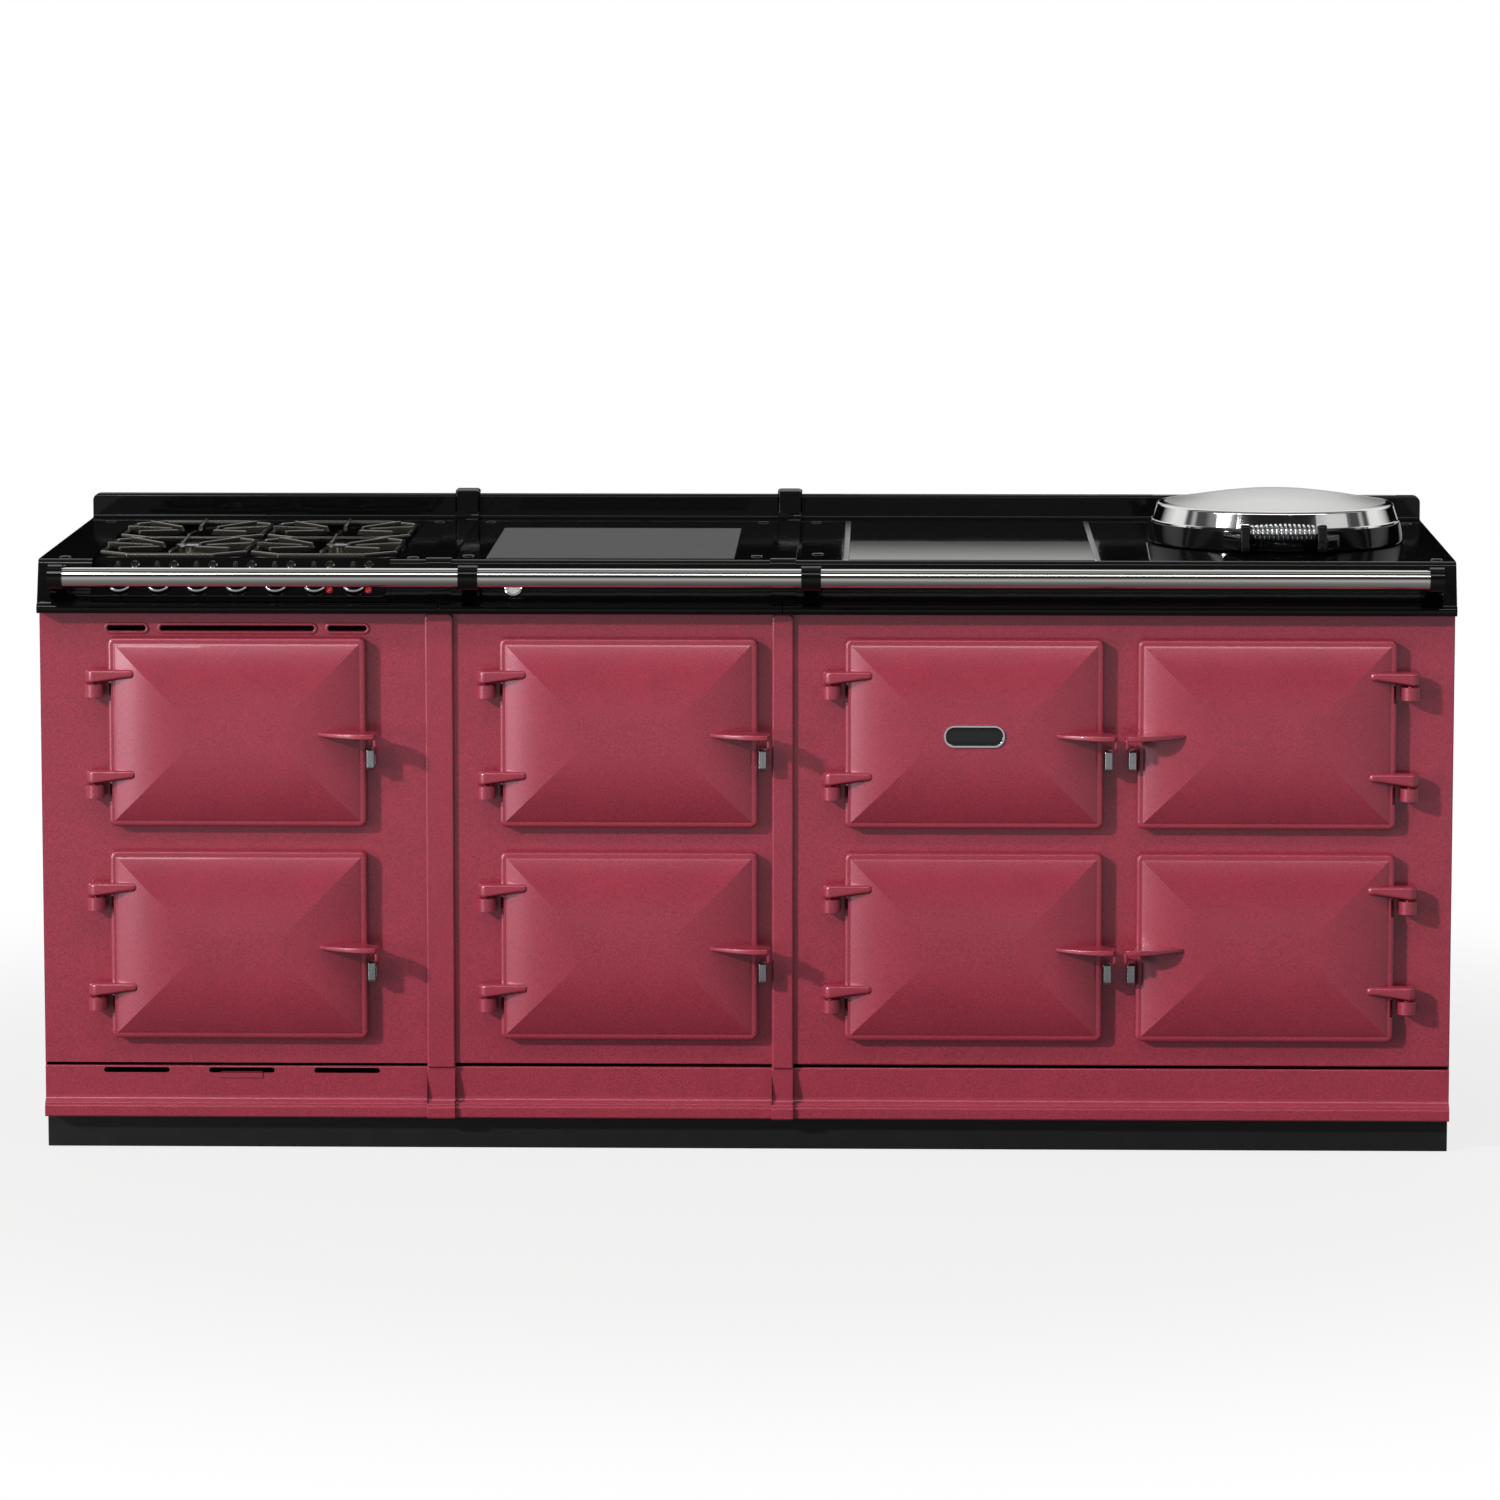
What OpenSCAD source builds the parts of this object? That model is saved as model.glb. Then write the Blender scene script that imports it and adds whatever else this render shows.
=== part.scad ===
// Cast iron range cooker in three modules: gas hob, warming plate and main cooker.
// Millimetres. X runs to the viewer's right, Y to the back, Z up. The origin is on
// the floor, at the middle of the whole object's width and depth.

/* [Modules] */
// Width of the gas hob module
left_module_w = 592; // [560:1:720]
// Width of the warming plate module
middle_module_w = 508; // [500:1:620]
// Width of the main module
right_module_w = 990; // [960:1:1200]
// Depth from the front plates' faces to the back of the hob
body_depth = 690; // [640:1:840]

/* [Heights] */
// Height of the plinth
plinth_h = 51; // [40:1:90]
// Height of the valance under the front plates
valance_h = 76; // [70:1:110]
// Shadow gap between valance and front plate
groove_h = 5; // [3:0.5:8]
// Height of the front plates
front_plate_h = 675; // [670:1:820]
// Height of the hob casting above the front plates
top_plate_h = 78; // [74:1:94]
// Height of the upstand above the hob
upstand_h = 38; // [24:1:60]

/* [Castings] */
// Thickness of the front plates
front_plate_t = 6; // [5:0.5:9]
// Wall of the hob castings
top_wall = 6; // [5:0.5:8]
// How far the hob's lower band stands out from the front plates
band_out = 30; // [26:1:36]
// Thickness of the upstand at the back of the hob
upstand_t = 22; // [18:1:30]
// Width of the pillar beside the gas hob module
left_pillar_w = 42; // [30:1:50]
// Width of the pillar beside the main module
right_pillar_w = 32; // [26:1:42]
// How far a pillar stands out from the front plates
pillar_t = 7; // [4:1:10]
// Width of the joint strips across the hob
strip_w = 38; // [30:1:46]
// Thickness of the joint strips
strip_t = 3; // [2:0.5:5]

/* [Doors] */
// Width of a door
door_w = 381; // [310:1:390]
// Height of a door
door_h = 281; // [230:1:300]
// Thickness of a door at its edge
door_edge_t = 14; // [11:1:20]
// Height of the door's pillow above its edge
pillow_h = 26; // [15:1:30]
// Wall of a door's hollow casting
door_wall = 8; // [6:0.5:10]
// Gap between a closed door and its front plate
door_gap = 2.5; // [1.5:0.5:4]
// From the hinge axis to the door's edge
hinge_gap = 20; // [18:1:24]
// From the front plate's face to the hinge axis
hinge_out = 22; // [20:1:26]
// Radius of the hinge pins
hinge_pin_r = 5; // [4:0.5:6]
// How far a door laps over the oven's mouth on each side
mouth_lap = 18; // [15:1:24]
// Clear depth of an oven
oven_depth = 440; // [380:1:500]
// How far a door's liner reaches into the oven
liner_in = 22; // [12:1:30]
// Height of the lower doors' centres above the valance's top edge
lower_door_z = 185; // [180:1:230]
// Distance between the centres of the upper and lower doors
door_pitch = 318; // [300:1:350]

/* [Handrail] */
// Diameter of the handrail
rail_d = 28; // [22:1:34]
// From the front plates' faces to the rail's centre
rail_out = 72; // [66:1:90]
// From the hob's surface down to the rail's centre
rail_drop = 19; // [14:1:26]
// Distance from the sides of the cooker to the ends of the rails
rail_inset = 39; // [34:1:60]

/* [Gas hob] */
// Width of the burner well
well_w = 455; // [375:1:470]
// Depth of the burner well below the hob
well_drop = 42; // [36:1:50]
// Radius of the knobs
knob_r = 19.5; // [15:0.5:22]
// Height of the knobs
knob_h = 32; // [24:1:36]
// Distance between knobs
knob_pitch = 57.8; // [50:0.1:62]
// Width of the control panel
panel_w = 440; // [430:1:480]
// Backward tilt of the control panel
panel_tilt = 42; // [38:1:46]

/* [Plates and lid] */
// Width of the glass hob
glass_w = 380; // [340:1:420]
// Width of the warming plate
warm_w = 367; // [320:1:380]
// Radius of the lid at its foot
lid_r = 195; // [160:1:205]
// Height of the lid's black skirt
skirt_h = 31; // [26:1:40]
// Height of the polished dome above the skirt
dome_h = 48; // [40:1:60]
// From the boiling plate's edge to the foot of the lid
boiling_inset = 27; // [24:1:45]
// Length of the lid's coil handle
coil_len = 100; // [80:1:120]
// Number of turns in the coil handle
coil_turns = 14; // [10:1:16]

/* [Hidden] */
$fn = 64;

DOORS = ["left_upper", "left_lower", "middle_upper", "middle_lower",
         "right_upper_inner", "right_lower_inner", "right_upper_outer", "right_lower_outer"];

// Colours
enamel = [0.62, 0.26, 0.34];
black = [0.05, 0.05, 0.06];
steel = [0.75, 0.75, 0.75];
dark = [0.16, 0.16, 0.17];

// Clearances
fit = 0.3;          // between pieces that seat without touching
run = 0.08;         // radial clearance of a pin in its bore
joint_gap = 1;      // between neighbouring front plates and valances

// Overall widths and the modules' edges
total_w = left_module_w + middle_module_w + right_module_w;
x0 = -total_w / 2;
x1 = x0 + left_module_w;
x2 = x1 + middle_module_w;
x3 = total_w / 2;
collar_r = rail_d / 2 + 4;
front_reach = rail_out + collar_r;

// Depths
front_y = (front_reach - body_depth) / 2;
back_y = front_y + body_depth;
rail_y = front_y - rail_out;
service_gap = 40;               // behind the back panel, for pipes and cable
sheet_t = 2;                    // sheet metal of the carcass
panel_back_y = back_y - service_gap;

// Heights
plate_z0 = plinth_h + valance_h + groove_h;
plate_z1 = plate_z0 + front_plate_h;
hob_z = plate_z1 + top_plate_h;
crown_z = hob_z + upstand_h;
rail_z = hob_z - rail_drop;
lower_z = plinth_h + valance_h + lower_door_z;
upper_z = lower_z + door_pitch;

// A door's edges and middle from its hinge axis, and the oven's mouth behind it
door_x0 = hinge_gap;
door_x1 = hinge_gap + door_w;
door_xm = (door_x0 + door_x1) / 2;
mouth_w = door_w - 2 * mouth_lap;
mouth_h = door_h - 2 * mouth_lap;

// Hinge axis of each door, and the way the door runs from it, 1 to the right
left_door_shift = -2.5;         // door's middle from its module's middle
middle_door_shift = 26.5;
pair_shift = 3;
gap_between = 50;               // between the two columns of the main module
left_hinge_x = (x0 + x1) / 2 + left_door_shift - door_xm;
middle_hinge_x = (x1 + x2) / 2 + middle_door_shift - door_xm;
pair_x = (x2 + x3) / 2 + pair_shift;
inner_hinge_x = pair_x - gap_between / 2 - door_x1;
outer_hinge_x = pair_x + gap_between / 2 + door_x1;
DOOR_AT = [[left_hinge_x, upper_z, 1], [left_hinge_x, lower_z, 1],
           [middle_hinge_x, upper_z, 1], [middle_hinge_x, lower_z, 1],
           [inner_hinge_x, upper_z, 1], [inner_hinge_x, lower_z, 1],
           [outer_hinge_x, upper_z, -1], [outer_hinge_x, lower_z, -1]];

// Door, in its own frame: X from the hinge axis, Y from the front plate, Z from its middle
door_back = -door_gap;
door_top = door_back - door_edge_t - pillow_h;   // outermost face of the pillow
corner_r = 10;
flange_w = 9;                   // flat border round the pillow
shoulder_w = 76;                // from the border to the pillow's flat middle
pillow_in = flange_w + 3;       // from the door's edge to the foot of the pillow
shoulder_run = shoulder_w - 3;
step_h = 4;                     // from the border up to the foot of the pillow
arm_h = 21;                     // height of a hinge arm
arm_len = 42;                   // from the door's edge to where an arm fades out
arm_r = 13;                     // eye round the pin
arm_up_z = 84;                  // middle of the upper arm above the door's middle
arm_low_z = -66;                // middle of the lower arm
arm_gap = 1.2;                  // between an arm and the lug under it
lug_r = 14;
lug_h = 19;
pin_up = 15;                    // pin above its lug
blade_t = 8;                    // thickness of the handle's blade
blade_in = 71;                  // from the door's edge to the blade's tip
blade_over = 19;                // blade beyond the door's edge
blade_out = 72;                 // blade's front edge from the front plate
lip_t = 4;                      // turned down lip at the blade's end
lip_h = 15;
catch_w = 11;
catch_h = 34;
catch_z = -37;                  // middle of the catch below the door's middle
catch_out = 34;
catch_t = 4;                    // thickness of its strip
catch_gap = 2;                  // from the door's edge to the catch
lug_room = hinge_gap + 5;       // radius cut from the door's edge beside a lug
room_under = 6;                 // and how far that cut goes below the lug
hollow_in = 34;                 // from the door's edge to the hollow behind its pillow
liner_t = 2;
liner_gap = 5;                  // between liner and oven mouth
oven_wall = 5;
mouth_r = 12;
runner_z = -48;                 // shelf runner below the oven's middle
runner_w = 9;
runner_t = 5;
shelf_rod = 5;
shelf_gap = 1;
element_t = 8;
element_inset = 28;

// Vent slots of the gas hob module
slot_h = 8;
slot_z = plate_z1 - 24;
slot_mid = left_hinge_x + door_xm;
TOP_SLOTS = [[-164, 57], [0, 228], [163, 57]];
low_slot_z = plinth_h + valance_h - 7;
LOW_SLOTS = [[-157, 98], [0, 98], [157, 98]];
tab_w = 62;

// Valance: a face under the groove that flares to a foot
foot_h = 17;
flare_h = 12;
foot_r = 6;
flare_r = 8;
bevel = 2;
foot_out = 10;
face_in = 3;                    // valance face behind the front plates' faces
plinth_in = 24;
plinth_t = 12;

// Hob casting, as a profile of Y and Z
band_h = 12;
fascia_foot = [front_y - band_out + 9, plate_z1 + band_h + 7];
fascia_tilt = 21;
edge_r = 9;                     // round between fascia and hob
cove_r = 6;                     // hollow between hob and upstand
crown_r = 5;                    // round at the upstand's top
fascia_run = edge_r + (hob_z - edge_r - fascia_foot[1]) * sin(fascia_tilt);
edge_c = [fascia_foot[0] + fascia_run / cos(fascia_tilt), hob_z - edge_r];
flange_t = 8;                   // return that seats on the front plate

// Control panel, in a frame at its top edge
panel_y = front_y + 30;
panel_len = 80;
panel_t = 4;
panel_mid_x = (x0 + x1) / 2 + 4;
spindle_r = 4;
spindle_in = 18;                // how far a spindle reaches in behind the panel
knob_s = -47;                   // knob centres down the panel
knob_shift = -6.5;              // middle knob from the panel's middle
KNOB_X = [for (i = [-3:3]) panel_mid_x + knob_shift + i * knob_pitch];
lamp_r = 5;
lamp_dx = 22;                   // from a knob's centre to its lamp
lamp_s = knob_s - 13;

// Burner well and what stands in it
well_y0 = front_y + 39;
well_len = body_depth - 150;
well_mid_x = panel_mid_x + 2.5;
well_wall = 5;
well_z = hob_z - well_drop;
grate_gap = 6;                  // between the two pan supports and the well's walls
grate_w = (well_w - 3 * grate_gap) / 2;
grate_len = well_len - 2 * grate_gap;
bar_w = 7;
bar_h = 9;
grate_z = hob_z + 5;
ring_len = (grate_len + bar_w) / 2;
burner_dx = (grate_w + grate_gap) / 2;
burner_dy = (grate_len - ring_len) / 2;
well_mid_y = well_y0 + well_len / 2;
BURNERS = [[-1, -1, 38], [1, -1, 30], [-1, 1, 34], [1, 1, 26]];  // side, end and radius
burner_foot = 9;                // heights of a burner's body, crown and cap
crown_h = 11;
cap_h = 5;
corner_cut = 44;                // chamfer of a grate's rings
finger_in = 46;                 // from a burner's centre to its fingers

// Warming plate, glass and boiling plate
inset_t = 5;                    // thickness of the warming plate and the glass
inset_seat = 4;                 // depth of the rebate they sit in
ledge = 10;
warm_mid_x = (x1 + x2) / 2 - 2;
warm_y0 = front_y + 23;
warm_len = body_depth - 216;
glass_mid_x = x2 + 278;
glass_y0 = front_y + 12;
glass_len = body_depth - 80;
lid_x = x3 - 248;
lid_y = front_y + 326;
boiling_r = lid_r - boiling_inset;
boiling_rim = 5;
boiling_t = 32;
boiling_up = 3;

// Lid
lid_z = hob_z + 0.4;
lid_wall = 3;
dome_r = lid_r - 7;
dome_wall_h = dome_h * 0.54;
dome_lean = 11;
dome_t = 2;                     // sheet of the dome
shoulder_r = 15;                // round between the dome's wall and crown
crown_rise = 4;                 // from the wall's height to the foot of the crown
lid_axis = [lid_y + lid_r + 17, hob_z + 14];
knuckle_r = 10;
knuckle_w = 70;
lid_pin_r = 5;
ear_t = 10;
coil_y = lid_y - lid_r - 34;
coil_z = lid_z + skirt_h + 2;
wire_r = 1.6;
coil_r_end = 9.4;
coil_r_mid = 11.8;
post_w = 14;
post_d = 20;
post_up = 12;                   // post above the coil's axis
core_r = 5;
web_h = 22;

// Rails and brackets
rail_meet = 1;                  // between the ends of two rails inside a collar
collar_w = 29;
collar_x = [x1 + 48, x2 + 42.5];
RAILS = [[x0 + rail_inset, collar_x[0] - rail_meet / 2],
         [collar_x[0] + rail_meet / 2, collar_x[1] - rail_meet / 2],
         [collar_x[1] + rail_meet / 2, x3 - rail_inset]];
rail_wall = 1.5;
rail_fit = 0.05;                // round a rail in its collars
boss_w = 21;
socket = 6;                     // how far a rail reaches into a boss
bracket_w = 20;
end_w = 28;                     // width of an end bracket's arm

// Back panel's services
vent_r = 14;
vent_at = [x2 + 120, plate_z1 - 60];
gas_r = 10.5;
gas_at = [x0 + 120, plinth_h + 60];
cable_r = 9;
cable_at = [x2 + 60, plinth_h + 60];
gland_t = 3;                    // wall of the cable's gland
spigot_len = 36;
spigot_in = 14;                 // how far a spigot reaches in behind the back panel
rim_w = 7;                      // rim that holds it in the panel
rim_t = 6;
neck_in = 0.5;                  // how much slimmer a spigot is inside the panel

plug_r = 9;
badge_w = 89;
badge_h = 32;
badge_t = 3;
gauge_r = 14.5;
gauge_x = x1 + 111;

// ---------- shared shapes ----------

// Rectangle with round corners, centred
module soft_rect(w, h, r) {
    square([w - 2 * r, h], center = true);
    square([w, h - 2 * r], center = true);
    for (sx = [-1, 1], sz = [-1, 1])
        translate([sx * (w / 2 - r), sz * (h / 2 - r)]) circle(r);
}

// Extrudes a drawing in X and Z along Y, from y0 to y0 + t
module along_y(y0, t) {
    translate([0, y0 + t, 0]) rotate([90, 0, 0]) linear_extrude(height = t) children();
}

// Extrudes a drawing in Y and Z along X, from xa to xb
module along_x(xa, xb) {
    translate([xa, 0, 0]) rotate([90, 0, 90]) linear_extrude(height = xb - xa) children();
}

// Places a door's own frame in the cooker
module at_door(i) {
    a = DOOR_AT[i];
    translate([a[0], front_y, a[1]]) mirror([a[2] < 0 ? 1 : 0, 0, 0]) children();
}

// Frame on the sloping face of a plain hob casting, s up the slope, Z outwards
module on_fascia(x, s) {
    translate([x, fascia_foot[0] + s * sin(fascia_tilt), fascia_foot[1] + s * cos(fascia_tilt)])
        rotate([90 - fascia_tilt, 0, 0]) children();
}

// Frame on the control panel's outer face, s up the slope from its top edge
module on_panel(x, s) {
    translate([x, panel_y, hob_z]) rotate([90 - panel_tilt, 0, 0]) translate([0, s, 0]) children();
}

// Points of an arc, from angle a to angle b
function arc(c, r, a, b, n) =
    [for (i = [0:n]) let(t = a + (b - a) * i / n) [c[0] + r * cos(t), c[1] + r * sin(t)]];

// ---------- carcass ----------

module plinth() {
    y_in = front_y + plinth_in;
    color(dark) {
        translate([x0, y_in, 0]) cube([total_w, plinth_t, plinth_h]);
        translate([x0, panel_back_y - plinth_t, 0]) cube([total_w, plinth_t, plinth_h]);
        for (x = [x0, x1 - plinth_t / 2, x2 - plinth_t / 2, x3 - plinth_t])
            translate([x, y_in + plinth_t, 0])
                cube([plinth_t, panel_back_y - y_in - 2 * plinth_t, plinth_h]);
    }
}

module base_tray() {
    color(dark) translate([x0, front_y + front_plate_t, plinth_h])
        cube([total_w, panel_back_y - front_y - front_plate_t, sheet_t]);
}

module upright_panels() {
    z0 = plinth_h + sheet_t;
    color(dark) for (x = [x0, x1 - sheet_t / 2, x2 - sheet_t / 2, x3 - sheet_t])
        translate([x, front_y + front_plate_t, z0])
            cube([sheet_t, panel_back_y - front_y - front_plate_t, plate_z1 - z0]);
}

module back_panel() {
    color(dark) difference() {
        translate([x0, panel_back_y, plinth_h]) cube([total_w, sheet_t, plate_z1 - plinth_h]);
        for (s = [[vent_at, vent_r], [gas_at, gas_r], [cable_at, cable_r + gland_t]])
            translate([s[0][0], panel_back_y - 1, s[0][1]])
                rotate([-90, 0, 0]) cylinder(r = s[1] + fit, h = sheet_t + 2);
    }
}

// Stubs for the vent, gas and cable, each a little slimmer up to the panel's outer face
module service_spigots() {
    clear_z = spigot_in + sheet_t + fit;
    for (s = [[vent_at, vent_r, 1.5], [gas_at, gas_r, 3], [cable_at, cable_r + gland_t, gland_t]])
        color(steel) translate([s[0][0], panel_back_y - spigot_in, s[0][1]])
            rotate([-90, 0, 0]) difference() {
            union() {
                cylinder(r = s[1] - neck_in, h = clear_z + 1);
                translate([0, 0, clear_z]) cylinder(r = s[1], h = spigot_len + spigot_in - clear_z);
                translate([0, 0, spigot_in - rim_t]) cylinder(r = s[1] + rim_w, h = rim_t);
            }
            translate([0, 0, -1]) cylinder(r = s[1] - s[2], h = spigot_len + spigot_in + 2);
        }
}

// ---------- front ----------

// One front plate with an oven mouth behind each door and its vent slots
module front_plate(xa, xb, doors, slots = []) {
    color(enamel) difference() {
        translate([xa + joint_gap / 2, front_y, plate_z0])
            cube([xb - xa - joint_gap, front_plate_t, front_plate_h]);
        for (i = doors) at_door(i) translate([door_xm, 0, 0])
            along_y(-1, front_plate_t + 2) soft_rect(mouth_w, mouth_h, mouth_r);
        for (s = slots) translate([slot_mid + s[0], front_y, slot_z])
            along_y(-1, front_plate_t + 2) soft_rect(s[1], slot_h, slot_h / 2 - 0.01);
    }
}

module front_plate_left() { front_plate(x0, x1, [0, 1], TOP_SLOTS); }
module front_plate_middle() { front_plate(x1, x2, [2, 3]); }
module front_plate_right() { front_plate(x2, x3, [4, 5, 6, 7]); }

// Section of the valance, and of a pillar's foot when it stands out by more
module valance_section(out) {
    face_y = front_y + face_in - out;
    foot_y = front_y - foot_out - out;
    top = plinth_h + valance_h;
    polygon(concat(
        [[front_y + front_plate_t, plinth_h], [foot_y + bevel, plinth_h], [foot_y, plinth_h + bevel]],
        arc([foot_y + foot_r, plinth_h + foot_h], foot_r, 180, 130, 4),
        arc([face_y - flare_r, plinth_h + foot_h + flare_h + foot_r], flare_r, -50, 0, 4),
        [[face_y, top - bevel], [face_y + bevel, top], [front_y + front_plate_t, top]]));
}

module base_valances() {
    color(enamel) {
        difference() {
            along_x(x0, x1 - joint_gap / 2) valance_section(0);
            for (s = LOW_SLOTS) translate([slot_mid + s[0], front_y, low_slot_z])
                along_y(-1, front_plate_t + 2) soft_rect(s[1], slot_h, slot_h / 2 - 0.01);
        }
        along_x(x1 + joint_gap / 2, x2 - joint_gap / 2) valance_section(0);
        along_x(x2 + joint_gap / 2, x3) valance_section(0);
        // folded tab of the middle air slot
        translate([slot_mid - tab_w / 2, front_y + face_in - 1.8, low_slot_z - slot_h / 2 - 7])
            cube([tab_w, 1.5, 8]);
        translate([slot_mid - tab_w / 2, front_y + face_in - 0.3, low_slot_z - slot_h / 2 + 0.3])
            cube([tab_w, 8, 0.7]);
    }
}

// Each pillar covers a joint between front plates, and its foot follows the valance
module pillars() {
    z0 = plinth_h + valance_h;
    color(enamel) for (p = [[x1, left_pillar_w], [x2, right_pillar_w]]) {
        xa = p[0] - p[1] / 2;
        intersection() {
            translate([xa, front_y - pillar_t - fit, z0]) cube([p[1], pillar_t, plate_z1 - z0]);
            translate([p[0], front_y - pillar_t - fit + p[1] / 2, z0])
                linear_extrude(height = plate_z1 - z0) soft_rect(p[1], p[1], 5);
        }
        difference() {
            along_x(xa, xa + p[1]) valance_section(pillar_t);
            along_x(xa - 1, xa + p[1] + 1) valance_section(fit);
        }
    }
}

// The lugs' pins carry the doors, and each lug seats on its front plate
module hinge_lugs() {
    color(enamel) for (i = [0:7], z = [arm_up_z, arm_low_z])
        at_door(i) translate([0, -hinge_out, z - arm_h / 2 - arm_gap - lug_h]) {
            cylinder(r = lug_r, h = lug_h);
            translate([-lug_r, 0, 0]) cube([2 * lug_r, hinge_out, lug_h]);
            cylinder(r = hinge_pin_r, h = lug_h + arm_gap + pin_up);
        }
}

// A catch is a bent strip of steel on a foot, and the door's blade closes over it
module door_catches() {
    low = -catch_h / 2;
    high = catch_h / 2;
    out = -catch_out;
    t = catch_t;
    color(steel) for (i = [0:7])
        at_door(i) translate([door_x1 + catch_gap + catch_w / 2, 0, catch_z]) {
            along_x(-catch_w / 2, catch_w / 2) {
                polygon([[0, low], [out + 10, low], [out, low + 8], [out, high - 12],
                         [out + 12, high], [-12, high], [-12, high - t], [out + 13, high - t],
                         [out + t, high - 13], [out + t, low + 9], [out + 11, low + t], [0, low + t]]);
                translate([-3, low + t]) square([3, catch_h - 14]);
            }
        }
}

// ---------- doors ----------

// Height of the door's face at a distance d in from its edge
function pillow(d) =
    d < 1 ? door_edge_t - 4 :
    d < 4 ? door_edge_t - 1 :
    d <= flange_w ? door_edge_t :
    d < pillow_in ? door_edge_t + step_h :
    d < flange_w + shoulder_w ?
        door_edge_t + step_h + (pillow_h - step_h) * sin(90 * (d - pillow_in) / shoulder_run) :
    door_edge_t + pillow_h;
STEPS = concat([0, 1.5, 4, flange_w, pillow_in], [for (k = [1:6]) pillow_in + shoulder_run * k / 6]);

// Section of a door across a size w, from -w/2 to w/2
module pillow_section(w) {
    last = len(STEPS) - 1;
    polygon(concat([[-w / 2, 0]],
                   [for (d = STEPS) [-w / 2 + d, pillow(d)]],
                   [for (i = [last:-1:0]) [w / 2 - STEPS[i], pillow(STEPS[i])]],
                   [[w / 2, 0]]));
}

// Section of the hollow behind the pillow
module hollow_section(w) {
    steps = [for (k = [0:5]) hollow_in + (flange_w + shoulder_w - hollow_in) * k / 5];
    polygon(concat([[-w / 2 + hollow_in, -1]],
                   [for (d = steps) [-w / 2 + d, pillow(d) - door_wall]],
                   [for (i = [5:-1:0]) [w / 2 - steps[i], pillow(steps[i]) - door_wall]],
                   [[w / 2 - hollow_in, -1]]));
}

// Two sections crossed, which gives the pillow its sloping corners
module crossed(w, h, hollow = false) {
    intersection() {
        rotate([180, 0, 0]) linear_extrude(height = h, center = true) {
            if (hollow) hollow_section(w);
            else pillow_section(w);
        }
        along_x(-w / 2, w / 2) mirror([1, 0]) rotate(-90) {
            if (hollow) hollow_section(h);
            else pillow_section(h);
        }
    }
}

module door_casting() {
    color(enamel) difference() {
        union() {
            translate([door_xm, door_back, 0]) intersection() {
                crossed(door_w, door_h);
                along_y(-door_edge_t - pillow_h - 1, door_edge_t + pillow_h + 1)
                    soft_rect(door_w, door_h, corner_r);
            }
            for (z = [arm_up_z, arm_low_z]) translate([0, 0, z - arm_h / 2]) {
                linear_extrude(height = arm_h) {
                    translate([0, -hinge_out]) circle(arm_r);
                    polygon([[0, -hinge_out - arm_r], [door_x0 + arm_len - 10, -hinge_out - arm_r],
                             [door_x0 + arm_len, -hinge_out - 8],
                             [door_x0 + arm_len, door_back - 6], [0, -hinge_out + arm_r]]);
                }
            }
            door_blade();
        }
        translate([door_xm, door_back, 0]) crossed(door_w, door_h, true);
        // room for the lugs under the arms, and the pins' bores
        for (z = [arm_up_z, arm_low_z]) translate([0, -hinge_out, z - arm_h / 2]) {
            translate([0, 0, -lug_h - arm_gap - room_under])
                cylinder(r = lug_room, h = lug_h + arm_gap + room_under);
            translate([0, 0, -1]) cylinder(r = hinge_pin_r + run, h = pin_up + 1 + fit);
        }
    }
}

// The handle is a level blade that grows out of the door towards its edge
module door_blade() {
    e = door_x1;
    face = -door_gap - door_edge_t;
    tail = e + blade_over;
    translate([0, 0, -blade_t / 2]) linear_extrude(height = blade_t)
        polygon([[e - blade_in, face - 18], [e - blade_in + 3, face - pillow_h + 1],
                 [e - 45, -blade_out + 16], [e - 15, -blade_out + 3], [e + 6, -blade_out],
                 [tail - lip_t, -blade_out + 2], [tail, -blade_out + 7], [tail, -blade_out + 32],
                 [e + 4, -catch_out + 3], [e - 3, face + 4], [e - 20, face + 4]]);
    translate([tail - lip_t, -blade_out + 5, -blade_t / 2 - lip_h]) cube([lip_t, 26, lip_h + 1]);
}

// Pan of steel on the door's back, that holds its insulation
module door_liner() {
    w = mouth_w - 2 * liner_gap;
    h = mouth_h - 2 * liner_gap;
    r = mouth_r - 4;
    color(steel) translate([door_xm, 0, 0]) difference() {
        along_y(door_back, door_gap + liner_in) soft_rect(w, h, r);
        along_y(door_back - 1, door_gap + liner_in + 1 - liner_t)
            soft_rect(w - 2 * liner_t, h - 2 * liner_t, r - liner_t);
    }
}

// ---------- ovens ----------

// Open-fronted box with a runner on each wall, seated on the back of its front plate
module oven_box(i) {
    w = mouth_w + 2 * oven_wall;
    h = mouth_h + 2 * oven_wall;
    y0 = front_plate_t;
    color(dark) at_door(i) translate([door_xm, 0, 0]) {
        difference() {
            translate([-w / 2, y0, -h / 2]) cube([w, oven_depth + oven_wall, h]);
            translate([-mouth_w / 2, y0 - 1, -mouth_h / 2]) cube([mouth_w, oven_depth + 1, mouth_h]);
        }
        for (s = [-1, 1]) translate([s * (mouth_w - runner_w) / 2 - runner_w / 2,
                                     y0 + liner_in + 20, runner_z - runner_t])
            cube([runner_w, oven_depth - liner_in - 30, runner_t]);
    }
}

module oven_boxes_left() { for (i = [0, 1]) oven_box(i); }
module oven_boxes_middle() { for (i = [2, 3]) oven_box(i); }
module oven_boxes_right() { for (i = [4:7]) oven_box(i); }

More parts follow.
